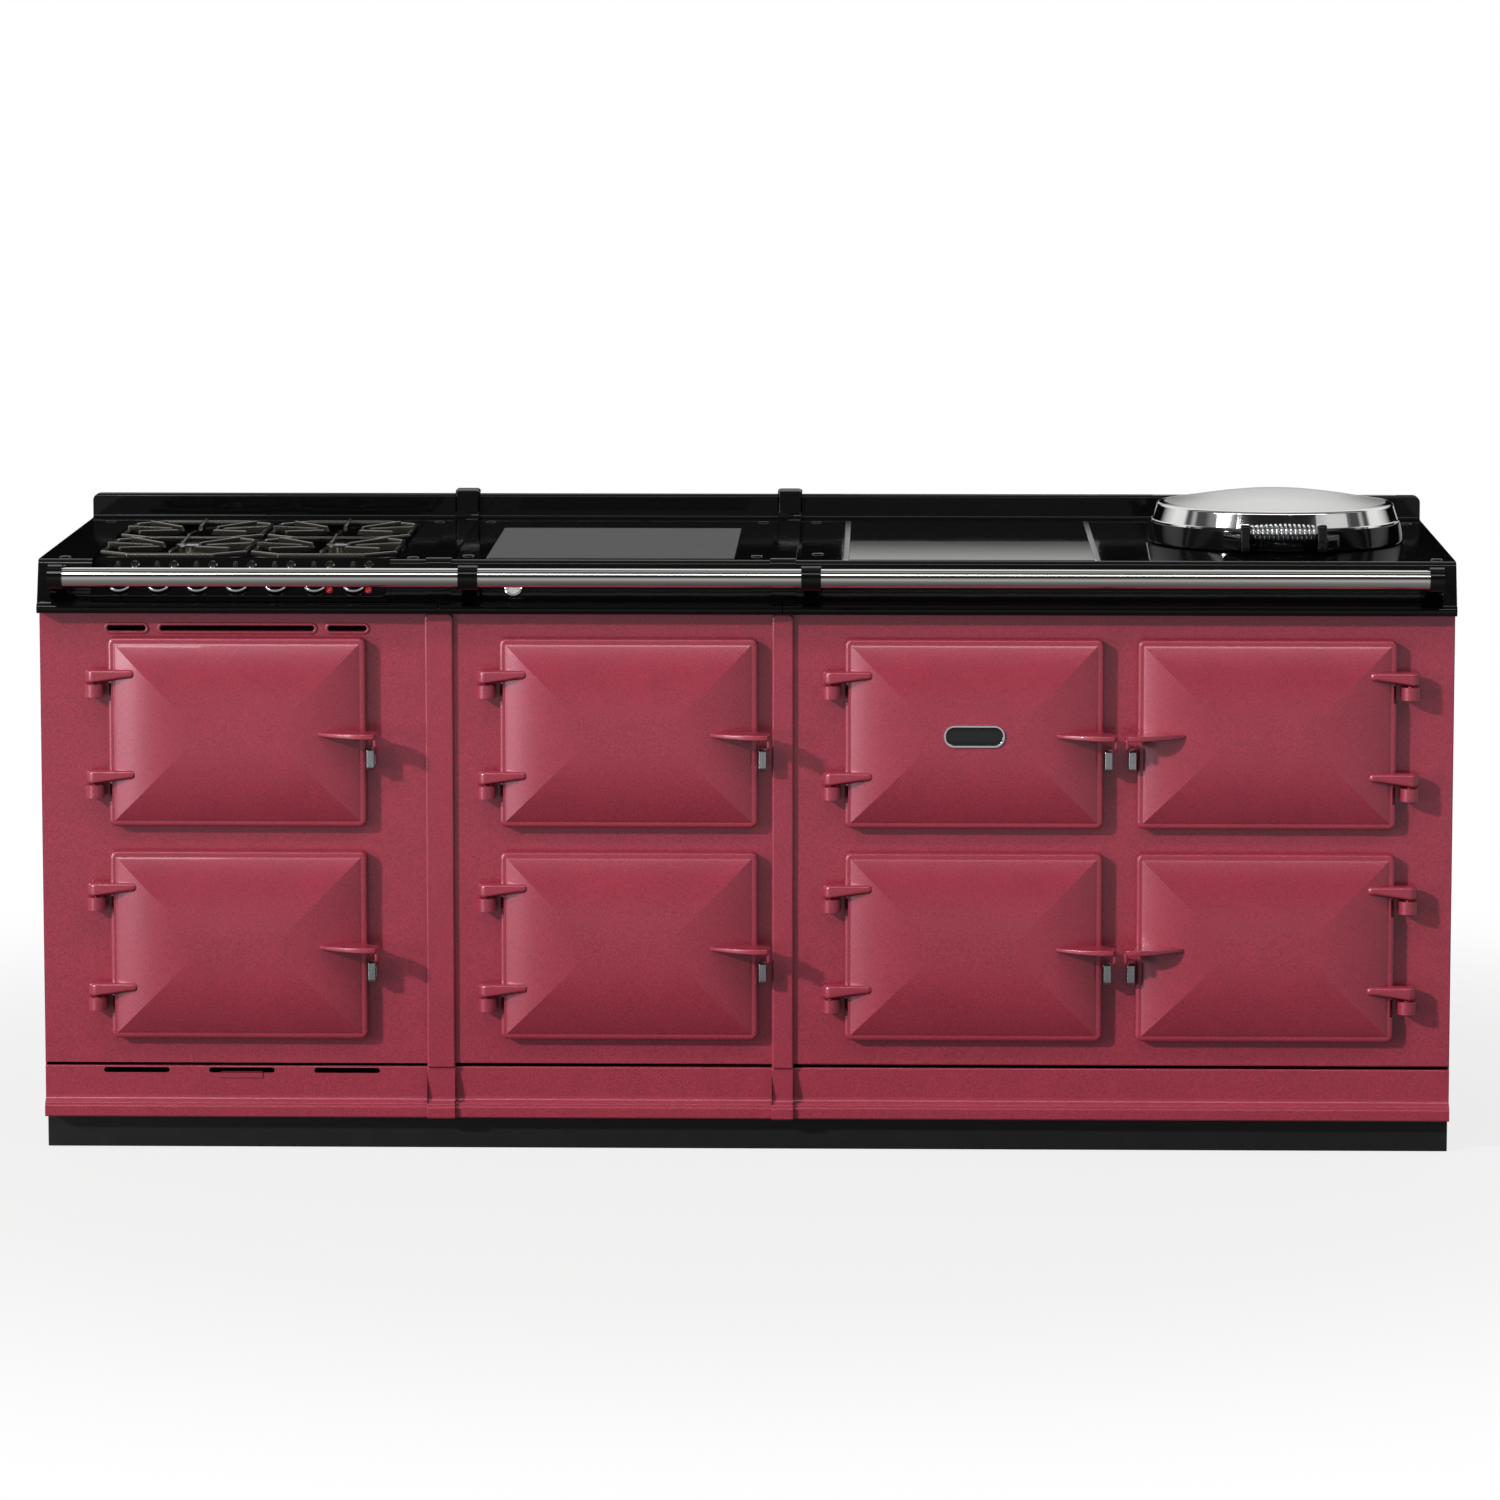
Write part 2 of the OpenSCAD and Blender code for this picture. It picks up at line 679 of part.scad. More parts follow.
module oven_shelves() {
    w = mouth_w - 2 * shelf_gap;
    y0 = front_plate_t + liner_in + 22;
    len = oven_depth - liner_in - 36;
    bars = 10;
    color(steel) for (i = [0:7]) at_door(i) translate([door_xm, y0, runner_z]) {
        for (s = [-1, 1]) translate([s * (w - shelf_rod) / 2 - shelf_rod / 2, 0, 0])
            cube([shelf_rod, len, shelf_rod]);
        for (k = [0:bars]) translate([-w / 2 + shelf_rod / 2, k * (len - shelf_rod) / bars, 0])
            cube([w - shelf_rod, shelf_rod, shelf_rod]);
    }
}

module oven_elements() {
    z = -mouth_h / 2 - oven_wall - element_t;
    color(dark) for (i = [0:7]) at_door(i)
        translate([door_xm - mouth_w / 2 + element_inset, front_plate_t + element_inset, z])
            cube([mouth_w - 2 * element_inset, oven_depth - 2 * element_inset, element_t]);
}

// ---------- hob castings ----------

// Rounded stretches that a hob casting and the joint strips share
up_y = back_y - upstand_t;
EDGE = arc(edge_c, edge_r, 180 - fascia_tilt, 90, 5);
COVE = arc([up_y - cove_r, hob_z + cove_r], cove_r, -90, 0, 3);
CROWN = arc([up_y + crown_r, crown_z - crown_r], crown_r, 180, 90, 3);

// Profile of a hob casting: band, sloping fascia, rounded edge, surface and upstand
module top_section() {
    t = top_wall;
    polygon(concat(
        [[front_y + front_plate_t, plate_z1], [front_y - band_out, plate_z1],
         [front_y - band_out, plate_z1 + band_h], [front_y - band_out + 3, plate_z1 + band_h + 4],
         fascia_foot],
        EDGE,
        COVE,
        CROWN,
        [[back_y - 4, crown_z], [back_y, crown_z - 4], [back_y, plate_z1],
         [back_y - t, plate_z1], [back_y - t, hob_z - t], [front_y + 8, hob_z - t],
         [fascia_foot[0] + t + 3, fascia_foot[1]], [fascia_foot[0] + t + 3, plate_z1 + flange_t],
         [front_y + front_plate_t, plate_z1 + flange_t]]));
}

// Solid outline of the same profile, for an end wall
module top_end() {
    polygon(concat(
        [[front_y - band_out, plate_z1], [front_y - band_out, plate_z1 + band_h],
         [front_y - band_out + 3, plate_z1 + band_h + 4], fascia_foot],
        EDGE,
        [[back_y - top_wall / 2, hob_z], [back_y - top_wall / 2, plate_z1]]));
}

module top_plate_left() {
    xa = x0;
    xb = x1 - joint_gap / 2;
    w = well_w + 2 * well_wall;
    color(black) difference() {
        union() {
            along_x(xa, xb) top_section();
            along_x(xa, xa + top_wall) top_end();
            translate([well_mid_x - w / 2, well_y0 - well_wall, well_z - well_wall])
                cube([w, well_len + 2 * well_wall, well_drop + well_wall - 0.5]);
        }
        translate([well_mid_x - well_w / 2, well_y0, well_z])
            cube([well_w, well_len, well_drop + 1]);
        on_panel(panel_mid_x, -panel_len) translate([-panel_w / 2 - fit, -fit, -panel_t])
            cube([panel_w + 2 * fit, panel_len + 2 * fit, 70]);
    }
}

// Rebate for an inset plate, with an open middle below its ledge
module inset_cut(xm, w, y0, len) {
    translate([xm - w / 2 - fit, y0 - fit, hob_z - inset_seat])
        cube([w + 2 * fit, len + 2 * fit, inset_seat + 1]);
    translate([xm - w / 2 + ledge, y0 + ledge, hob_z - top_wall - 1])
        cube([w - 2 * ledge, len - 2 * ledge, top_wall + 2]);
}

module top_plate_middle() {
    color(black) difference() {
        along_x(x1 + joint_gap / 2, x2 - joint_gap / 2) top_section();
        inset_cut(warm_mid_x, warm_w, warm_y0, warm_len);
    }
}

module top_plate_right() {
    color(black) difference() {
        union() {
            along_x(x2 + joint_gap / 2, x3) top_section();
            along_x(x3 - top_wall, x3) top_end();
        }
        inset_cut(glass_mid_x, glass_w, glass_y0, glass_len);
        translate([lid_x, lid_y, hob_z - top_wall - 1])
            cylinder(r = boiling_r + fit, h = top_wall + 2, $fn = 96);
    }
}

module warming_plate() {
    color(dark) translate([warm_mid_x - warm_w / 2, warm_y0, hob_z - inset_seat])
        cube([warm_w, warm_len, inset_t]);
}

module glass_hob() {
    color(black) translate([glass_mid_x - glass_w / 2, glass_y0, hob_z - inset_seat])
        cube([glass_w, glass_len, inset_t]);
}

// The boiling plate hangs in its opening by a rim
module boiling_plate() {
    color(dark) translate([lid_x, lid_y, 0]) {
        translate([0, 0, hob_z + boiling_up - boiling_t]) cylinder(r = boiling_r, h = boiling_t, $fn = 96);
        translate([0, 0, hob_z]) cylinder(r = boiling_r + boiling_rim, h = 2, $fn = 96);
    }
}

// A strip covers each joint: up the fascia, along the hob and over the upstand
module joint_strips() {
    g = strip_t;
    color(black) for (x = [x1, x2]) along_x(x - strip_w / 2, x + strip_w / 2) polygon(concat(
        [fascia_foot],
        EDGE,
        COVE,
        CROWN,
        [[back_y, crown_z], [back_y, crown_z + g + 5], [up_y + 2, crown_z + g + 5]],
        [[up_y - g - 1, crown_z + g + 2], [up_y - g - 1, hob_z + 10], [up_y - g - 5, hob_z + g]],
        arc(edge_c, edge_r + g, 90, 180 - fascia_tilt, 5),
        [[fascia_foot[0] - g * cos(fascia_tilt), fascia_foot[1] + g * sin(fascia_tilt)]]));
}

// Low domed plugs over the hob's fixing screws
module top_plate_plugs() {
    y_front = front_y + 34;
    y_back = back_y - upstand_t - 60;
    y_mid = y_front + 30;
    at = [[x0 + 36, y_front], [x0 + 36, y_back], [x1 - 40, y_front], [x1 - 40, y_back],
          [x1 + 40, y_mid], [x1 + 40, y_back], [x2 - 40, y_mid], [x2 - 40, y_back],
          [x2 + 42, y_back], [x2 + 50, y_front + 66], [x3 - 26, y_front], [x3 - 26, y_back]];
    color(black) for (p = at)
        translate([p[0], p[1], hob_z]) {
            cylinder(r = plug_r, h = 1.2);
            translate([0, 0, 1.2]) cylinder(r1 = plug_r - 1, r2 = plug_r - 4, h = 0.8);
        }
}

// ---------- gas hob ----------

module control_panel() {
    color(black) on_panel(panel_mid_x, -panel_len) difference() {
        translate([0, panel_len / 2, -panel_t]) linear_extrude(height = panel_t)
            soft_rect(panel_w, panel_len, 6);
        for (x = KNOB_X) translate([x - panel_mid_x, panel_len + knob_s, -panel_t - 1])
            cylinder(r = spindle_r + run, h = panel_t + 2);
        for (x = [KNOB_X[5], KNOB_X[6]])
            translate([x - panel_mid_x + lamp_dx, panel_len + lamp_s, -panel_t - 1])
                cylinder(r = lamp_r - 1, h = panel_t + 2);
    }
}

module indicator_lamps() {
    color("red") for (x = [KNOB_X[5], KNOB_X[6]]) on_panel(x + lamp_dx, lamp_s) {
        translate([0, 0, -panel_t]) cylinder(r = lamp_r - 1 - fit, h = panel_t + 1);
        translate([0, 0, 0]) cylinder(r = lamp_r, h = 2.5);
    }
}

// Skirt, tapered body and grip, on a spindle through the control panel
module knob(k) {
    skirt = 6;
    lift = 1;
    grip_w = 8;
    color(black) on_panel(KNOB_X[k - 1], knob_s) {
        translate([0, 0, lift]) cylinder(r = knob_r, h = skirt);
        translate([0, 0, lift + skirt]) cylinder(r1 = knob_r - 2, r2 = knob_r - 4, h = 8);
        translate([-grip_w / 2, -knob_r + 3, lift + skirt])
            cube([grip_w, 2 * knob_r - 4, knob_h - skirt - lift]);
        translate([0, 0, -spindle_in]) cylinder(r = spindle_r, h = spindle_in + 2);
    }
}

// Each burner: a body on the well's floor, a crown and a cap
module gas_burners() {
    for (b = BURNERS)
        translate([well_mid_x + b[0] * burner_dx, well_mid_y + b[1] * burner_dy, well_z]) {
            color(black) cylinder(r = b[2] + 10, h = burner_foot);
            color(steel) translate([0, 0, burner_foot]) cylinder(r = b[2], h = crown_h);
            color(black) translate([0, 0, burner_foot + crown_h]) cylinder(r = b[2] + 1, h = cap_h);
        }
}

// Rectangle with its corners cut off, centred
module cut_rect(w, h, c) {
    polygon([[w / 2, h / 2 - c], [w / 2 - c, h / 2], [c - w / 2, h / 2], [-w / 2, h / 2 - c],
             [-w / 2, c - h / 2], [c - w / 2, -h / 2], [w / 2 - c, -h / 2], [w / 2, c - h / 2]]);
}

// Ring of bars round one burner, with eight fingers that point at its middle
module grate_ring() {
    cut_in = corner_cut - bar_w * (2 - sqrt(2));
    // a slanting finger ends in the ring's cut corner, or in its side where that is nearer
    reach = min((grate_w / 2 + ring_len / 2 - corner_cut) / sqrt(2),
                (min(grate_w, ring_len) / sqrt(2) - bar_w / 2));
    linear_extrude(height = bar_h) {
        difference() {
            cut_rect(grate_w, ring_len, corner_cut);
            cut_rect(grate_w - 2 * bar_w, ring_len - 2 * bar_w, cut_in);
        }
        for (a = [0, 90, 180, 270]) rotate(a) {
            side = a % 180 == 0 ? grate_w / 2 : ring_len / 2;
            translate([finger_in, -bar_w / 2]) square([side - finger_in - 1, bar_w]);
            rotate(45) translate([finger_in, -bar_w / 2]) square([reach - finger_in - 2, bar_w]);
        }
    }
}

// Two cast grates, each of two rings on four legs
module pan_supports() {
    leg_x = grate_w / 2 - corner_cut / 2 - 3;
    leg_y = grate_len / 2 - corner_cut / 2 - 3;
    color(black) for (s = [-1, 1]) translate([well_mid_x + s * burner_dx, well_mid_y, 0]) {
        for (e = [-1, 1]) translate([0, e * burner_dy, grate_z - bar_h]) grate_ring();
        for (ex = [-1, 1], ey = [-1, 1])
            translate([ex * leg_x - bar_w / 2, ey * leg_y - bar_w / 2, well_z])
                cube([bar_w, bar_w, grate_z - well_z - 1]);
    }
}

// ---------- rails ----------

module handrails() {
    color(steel) for (r = RAILS) translate([r[0], rail_y, rail_z]) rotate([0, 90, 0]) difference() {
        cylinder(r = rail_d / 2, h = r[1] - r[0]);
        translate([0, 0, 2]) cylinder(r = rail_d / 2 - rail_wall, h = r[1] - r[0] - 4);
    }
}

// Section of a bracket's arm, from the rail back to the fascia
module arm_section() {
    up = [sin(fascia_tilt), cos(fascia_tilt)];
    polygon([[rail_y, rail_z - rail_d / 2 - 2], [rail_y, rail_z + rail_d / 2 + 2],
             fascia_foot + 52 * up, fascia_foot + 3 * up, fascia_foot + 3 * up - [9, 0]]);
}

// One bracket: a collar round the rail, and an arm that seats on the fascia
module rail_bracket(collar, arm, bore) {
    color(black) difference() {
        union() {
            rod_x(collar, collar_r);
            along_x(arm[0], arm[1]) arm_section();
        }
        rod_x(bore, rail_d / 2 + rail_fit);
    }
}

// Rod on the rails' line between the two X of a stretch
module rod_x(stretch, r) {
    translate([stretch[0], rail_y, rail_z]) rotate([0, 90, 0]) cylinder(r = r, h = stretch[1] - stretch[0]);
}

// Blind bosses at the outer ends, and collars where two rails meet
module rail_brackets() {
    left = x0 + rail_inset;
    right = x3 - rail_inset;
    left_end = left + socket - boss_w;
    right_end = right - socket + boss_w;
    rail_bracket([left_end, left + socket], [left_end, left_end + end_w], [left, left + end_w + 1]);
    rail_bracket([right - socket, right_end], [right_end - end_w, right_end], [right - end_w - 1, right]);
    for (x = collar_x)
        rail_bracket([x - collar_w / 2, x + collar_w / 2], [x - bracket_w / 2, x + bracket_w / 2],
                     [x - collar_w, x + collar_w]);
}

// ---------- small pieces ----------

module temperature_gauge() {
    color(steel) on_fascia(gauge_x, 22) {
        difference() {
            cylinder(r = gauge_r, h = 5);
            translate([0, 0, 3]) cylinder(r = gauge_r - 3, h = 3);
        }
        translate([0, 0, 2.9]) cylinder(r = gauge_r - 3.3, h = 1);
    }
}

// Plain plate on the middle of a door, with nothing on it
module name_plate() {
    color(dark) at_door(4) translate([door_xm, door_top - badge_t, 0])
        along_y(0, badge_t) soft_rect(badge_w, badge_h, badge_h / 2 - 1);
}

// ---------- lid ----------

// Crown of the lid, from a radius r and a height z up to its middle, as u runs from 0 to 1
function crown(u, r, z) = [r * (1 - u), z + (dome_h - dome_wall_h - crown_rise) * sin(90 * u)];

// Spun sheet: a leaning wall, a rounded shoulder and a shallow crown
module lid_dome() {
    t = dome_t;
    c = dome_r - dome_lean - shoulder_r + 1;
    z = dome_wall_h + crown_rise;
    h = z - shoulder_r - 1;
    color(steel) translate([lid_x, lid_y, lid_z + skirt_h]) rotate_extrude($fn = 128)
        polygon(concat([[dome_r, 0]],
            arc([c, h], shoulder_r, 10, 80, 5),
            [for (k = [1:6]) crown(k / 6, c, z)],
            [[0, dome_h - t]],
            [for (k = [5:-1:0]) crown(k / 6, c - t, z - t)],
            arc([c - t, h], shoulder_r - t, 80, 10, 4),
            [[dome_r - t, 0]]));
}

// Black ring with a liner plate across it, the handle's bracket in front and the
// hinge knuckle behind
module lid_skirt() {
    inner = lid_r - lid_wall - 3;
    liner_z = 8;
    color(black) difference() {
        union() {
            translate([lid_x, lid_y, lid_z]) rotate_extrude($fn = 128)
                polygon([[inner, 0], [lid_r - 2, 0], [lid_r, 2], [dome_r, skirt_h],
                         [dome_r - lid_wall, skirt_h], [inner, liner_z + lid_wall],
                         [0, liner_z + lid_wall], [0, liner_z], [inner, liner_z]]);
            difference() {
                union() {
                    handle_bracket();
                    translate([lid_x - knuckle_w / 2, lid_axis[0], lid_axis[1]]) rotate([0, 90, 0])
                        cylinder(r = knuckle_r, h = knuckle_w);
                    translate([lid_x - knuckle_w / 2, lid_y + lid_r - 30, lid_axis[1] - 4])
                        cube([knuckle_w, 47, 10]);
                }
                translate([lid_x, lid_y, lid_z - 5]) cylinder(r = dome_r - 2, h = 60, $fn = 128);
            }
        }
        translate([lid_x - knuckle_w, lid_axis[0], lid_axis[1]]) rotate([0, 90, 0])
            cylinder(r = lid_pin_r + run, h = 2 * knuckle_w);
    }
}

// Two arms that grow out of the skirt to posts, with a rod between them for the coil
module handle_bracket() {
    half = coil_len / 2 + post_w;
    foot_z = lid_z + 4;
    root_y = lid_y - lid_r + 22;    // where the arms leave the skirt
    front = coil_y - 8;
    for (s = [-1, 1]) {
        translate([lid_x, 0, foot_z]) linear_extrude(height = web_h)
            polygon([[s * (half + 26), root_y], [s * (half + 4), coil_y + 20],
                     [s * half, coil_y + 8], [s * half, front], [s * (half - post_w), front],
                     [s * (half - post_w), coil_y + 14], [s * (half - post_w - 8), root_y]]);
        translate([lid_x + s * (half - post_w / 2) - post_w / 2, front, foot_z])
            cube([post_w, post_d, coil_z + post_up - foot_z]);
    }
    translate([lid_x - half + 2, coil_y, coil_z]) rotate([0, 90, 0])
        cylinder(r = core_r, h = 2 * half - 4);
}

// Base screwed to the hob, with an ear and a pin at each end of the lid's knuckle
module lid_hinge_base() {
    w = knuckle_w + 2 * ear_t + 2;
    color(black) {
        for (s = [-1, 1]) translate([lid_x + s * (w / 2 - ear_t / 2) - ear_t / 2, 0, 0]) {
            translate([0, lid_axis[0], lid_axis[1]]) rotate([0, 90, 0]) cylinder(r = knuckle_r, h = ear_t);
            translate([0, lid_axis[0] - knuckle_r, hob_z]) cube([ear_t, 2 * knuckle_r, lid_axis[1] - hob_z]);
        }
        translate([lid_x - w / 2, lid_axis[0] + knuckle_r + 2, hob_z]) cube([w, 22, 4]);
        for (s = [-1, 1]) translate([lid_x + s * (w / 2 - ear_t / 2) - ear_t / 2, lid_axis[0], hob_z])
            cube([ear_t, knuckle_r + 10, 4]);
        translate([lid_x - w / 2 + 2, lid_axis[0], lid_axis[1]]) rotate([0, 90, 0])
            cylinder(r = lid_pin_r, h = w - 4);
    }
}

// Coil handle: one unbroken wire, straight for a wire's width at each end
coil_steps = 8;
coil_x0 = -coil_len / 2;
coil_pitch = (coil_len - 4 * wire_r) / coil_turns;
coil_n = coil_steps * coil_turns;
function coil_r(u) = coil_r_end + (coil_r_mid - coil_r_end) * sin(180 * u);
function coil_point(k) = let(u = k / coil_n, a = 360 * k / coil_steps)
    [coil_x0 + 2 * wire_r + coil_pitch * k / coil_steps, coil_r(u) * cos(a), coil_r(u) * sin(a)];
coil_line = concat([coil_point(0) - [2 * wire_r, 0, 0]], [for (k = [0:coil_n]) coil_point(k)],
                   [coil_point(coil_n) + [2 * wire_r, 0, 0]]);
function unit(v) = v / norm(v);
function along(p, i) = i == 0 || i == len(p) - 1 ? [1, 0, 0] :
    unit(unit(p[i] - p[i - 1]) + unit(p[i + 1] - p[i]));
function wire_ring(p, i) = let(t = along(p, i), n0 = [0, p[i][1], p[i][2]],
                               n = unit(n0 - (n0 * t) * t), b = cross(t, n))
    [for (j = [0:5]) p[i] + wire_r * (cos(60 * j) * n + sin(60 * j) * b)];
function nearest_turn(i) =
    min([for (j = [i + 5:min(coil_n, i + 12)]) norm(coil_point(i) - coil_point(j))]);
coil_gap = min([for (i = [0:coil_n - coil_steps]) nearest_turn(i)]) - 2 * wire_r;

module lid_coil() {
    p = coil_line;
    n = len(p);
    echo("coil's least gap to itself in mm", coil_gap);
    color(steel) translate([lid_x, coil_y, coil_z]) polyhedron(
        points = [for (i = [0:n - 1]) each wire_ring(p, i)],
        faces = concat(
            [for (i = [0:n - 2], j = [0:5]) each [
                [6 * i + j, 6 * (i + 1) + j, 6 * i + (j + 1) % 6],
                [6 * i + (j + 1) % 6, 6 * (i + 1) + j, 6 * (i + 1) + (j + 1) % 6]]],
            [for (j = [1:4]) [0, j, j + 1]],
            [for (j = [1:4]) [6 * (n - 1), 6 * (n - 1) + j + 1, 6 * (n - 1) + j]]));
}

// ---------- what is drawn ----------

plinth();
base_tray();
upright_panels();
back_panel();
front_plate_left();
front_plate_middle();
front_plate_right();
base_valances();
pillars();
top_plate_left();
top_plate_middle();
top_plate_right();
joint_strips();
top_plate_plugs();
handrails();
rail_brackets();
oven_boxes_left();
oven_boxes_middle();
oven_boxes_right();
oven_shelves();
oven_elements();
door_catches();
hinge_lugs();
gas_burners();
pan_supports();
control_panel();
indicator_lamps();
warming_plate();
glass_hob();
boiling_plate();
temperature_gauge();
lid_hinge_base();
name_plate();
service_spigots();
lid_dome();
lid_skirt();
lid_coil();
for (k = [1:7]) knob(k);
for (i = [0:7]) {
    at_door(i) door_casting();
    at_door(i) door_liner();
}
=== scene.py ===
# %% [markdown]
# # A cast iron range cooker, piece by piece
# The construction model is loaded first and never moved. Each cell after it explains one piece
# or one finish of the real cooker, and then makes it in the same place, in metres.

# %% The frame
import math
from contextlib import contextmanager

import bmesh
import bpy
from mathutils import Matrix, Vector


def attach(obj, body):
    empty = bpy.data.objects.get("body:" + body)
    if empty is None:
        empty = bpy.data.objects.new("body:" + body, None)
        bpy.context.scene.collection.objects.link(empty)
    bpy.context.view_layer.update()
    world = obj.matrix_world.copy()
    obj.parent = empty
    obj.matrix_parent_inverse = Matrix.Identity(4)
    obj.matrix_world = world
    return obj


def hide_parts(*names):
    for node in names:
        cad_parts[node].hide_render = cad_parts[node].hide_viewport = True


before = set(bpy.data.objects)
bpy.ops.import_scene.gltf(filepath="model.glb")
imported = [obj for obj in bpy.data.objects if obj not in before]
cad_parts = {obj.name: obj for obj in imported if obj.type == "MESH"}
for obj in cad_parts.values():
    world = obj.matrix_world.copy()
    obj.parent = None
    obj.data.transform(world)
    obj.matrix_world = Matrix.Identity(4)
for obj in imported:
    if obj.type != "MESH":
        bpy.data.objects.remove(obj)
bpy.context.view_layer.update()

MM = 0.001

# %% [markdown]
# ## The cooker's own lines
# Almost every piece lines up with a few planes of the real cooker: the joints between its three
# modules, the face of the front plates, the hob's surface and the rails. They are named once here,
# in millimetres, because a maker's drawing of a cooker is in millimetres too.

# %% Lines that the pieces share
X0, X1, X2, X3 = -1045, -453, 55, 1045        # ends of the cooker and joints between modules
FRONT, BACK = -300, 390                       # face of the front plates, back of the hob
PLATE_LOW, PLATE_TOP = 132, 807
HOB, UPSTAND = 885, 923
RAIL_Y, RAIL_Z, RAIL_R = -372, 866, 14
UPPER, LOWER = 630, 312                       # middles of the upper and lower doors
DOOR_MIDDLE, HINGE_OUT = 210.5, 22            # from a door's hinge axis, and from the axis to the front
MOUTH_X, MOUTH_Z = 172.5, 122.5               # half of an oven's mouth
LID_X, LID_Y = 797, 26
LID_TOP = (LID_X * 0.001, LID_Y * 0.001, 0.93)
DOORS = {                                     # hinge axis, middle height, and which way it runs
    "left_upper": (-962, UPPER, 1), "left_lower": (-962, LOWER, 1),
    "middle_upper": (-383, UPPER, 1), "middle_lower": (-383, LOWER, 1),
    "right_upper_inner": (127, UPPER, 1), "right_lower_inner": (127, LOWER, 1),
    "right_upper_outer": (979, UPPER, -1), "right_lower_outer": (979, LOWER, -1),
}

# %% [markdown]
# ## The camera first
# The photograph was taken from far off with a long lens, a little above the hob, so lines that run
# back close in only slowly. A camera almost ten metres away with a 155 mm lens gives the same small
# perspective. Making it first means that every later render can be compared with the photograph.

# %% Camera
bpy.ops.object.select_all(action="DESELECT")
eye, aim = Vector((0.212, -9.8, 1.83)), Vector((0.0064, -0.3, 0.6037))
bpy.ops.object.camera_add(location=eye, rotation=(aim - eye).to_track_quat("-Z", "Y").to_euler())
camera = bpy.context.object
camera.data.lens, camera.data.sensor_width = 155.5, 36
camera.data.clip_end = 400
bpy.context.scene.camera = camera
bpy.context.scene.view_settings.view_transform = "Standard"
print("camera", round((aim - eye).length, 2), "m from the cooker")

# %% [markdown]
# ## Node sheets written as sums
# Enamel, steel and iron all vary a little over their surface, and in Blender that variation is a
# chain of Math nodes. Written out, such chains are hard to read, so one small class wraps an
# output and lets Python's own signs add the nodes: `grain * 0.3 + 0.5` makes two of them.

# %% A socket that can be added and multiplied
class Value:
    """An output in a node tree, on which Python's signs work."""

    def __init__(self, sheet, socket):
        self.sheet, self.socket = sheet, socket

    def maths(self, operation, *others):
        inputs = dict(enumerate((self,) + others))
        return self.sheet.node("ShaderNodeMath", {"operation": operation}, inputs)

    def __add__(self, other):
        return self.maths("ADD", other)

    def __mul__(self, other):
        return self.maths("MULTIPLY", other)

    def __sub__(self, other):
        return self.maths("SUBTRACT", other)

    def __rsub__(self, other):
        return self * -1 + other

    __radd__, __rmul__ = __add__, __mul__

    def step(self, low, high):
        """0 below low, 1 above high and smooth between them."""
        return self.sheet.node("ShaderNodeMapRange", {"interpolation_type": "SMOOTHSTEP"},
                               {"Value": self, "From Min": low, "From Max": high})


class Sheet:
    """A material's or world's node tree, and the one method that adds a node to it."""

    def __init__(self, tree):
        self.tree = tree
        tree.nodes.clear()

    def node(self, kind, settings=None, inputs=None, out=0):
        made = self.tree.nodes.new(kind)
        for name, value in (settings or {}).items():
            if name == "stops":
                while len(made.color_ramp.elements) < len(value):
                    made.color_ramp.elements.new(0.5)
                for stop, (place, colour) in zip(made.color_ramp.elements, value):
                    stop.position, stop.color = place, colour
            else:
                setattr(made, name, value)
        for name, value in (inputs or {}).items():
            if isinstance(value, Value):
                self.tree.links.new(value.socket, made.inputs[name])
            else:
                made.inputs[name].default_value = value
        return Value(self, made.outputs[out]) if made.outputs else None

    def rays(self):
        """Whether the ray that arrives is a camera, a glossy or a transmission ray."""
        return [self.node("ShaderNodeLightPath", out=f"Is {kind} Ray")
                for kind in ("Camera", "Glossy", "Transmission")]

    def place(self):
        """Where a point lies on its piece, in metres."""
        return self.node("ShaderNodeTexCoord", out="Object")

    def length(self, vector):
        return self.node("ShaderNodeVectorMath", {"operation": "LENGTH"}, {0: vector}, out=1)

    def noise(self, size_mm, detail=2.0, stretch=(1, 1, 1)):
        """Soft noise whose spots are about size_mm across."""
        spot = self.node("ShaderNodeMapping", {}, {"Vector": self.place(), "Scale": stretch})
        return self.node("ShaderNodeTexNoise", {}, {"Vector": spot, "Scale": 1 / (size_mm * MM),
                                                    "Detail": detail, "Roughness": 0.55})

    def blend(self, share, first, second):
        """A colour between two, by a share from 0 to 1."""
        return self.node("ShaderNodeMix", {"data_type": "RGBA"}, {0: share, 6: first, 7: second}, out=2)


def colour(red, green, blue):
    """A colour as a screen shows it, from 0 to 255, turned into light."""
    return tuple((c / 255 / 12.92 if c < 10 else ((c / 255 + 0.055) / 1.055) ** 2.4)
                 for c in (red, green, blue)) + (1.0,)


def grains(size, detail, first, second):
    """A base colour that noise mixes from two."""
    return lambda sheet: sheet.blend(sheet.noise(size, detail), first, second)


def cloudy(size, detail, swing, least, stretch=(1, 1, 1)):
    """A roughness that noise raises over its least."""
    return lambda sheet: sheet.noise(size, detail, stretch) * swing + least


def ripple(size, detail, stretch=(1, 1, 1)):
    """A height for a bump."""
    return lambda sheet: sheet.noise(size, detail, stretch)


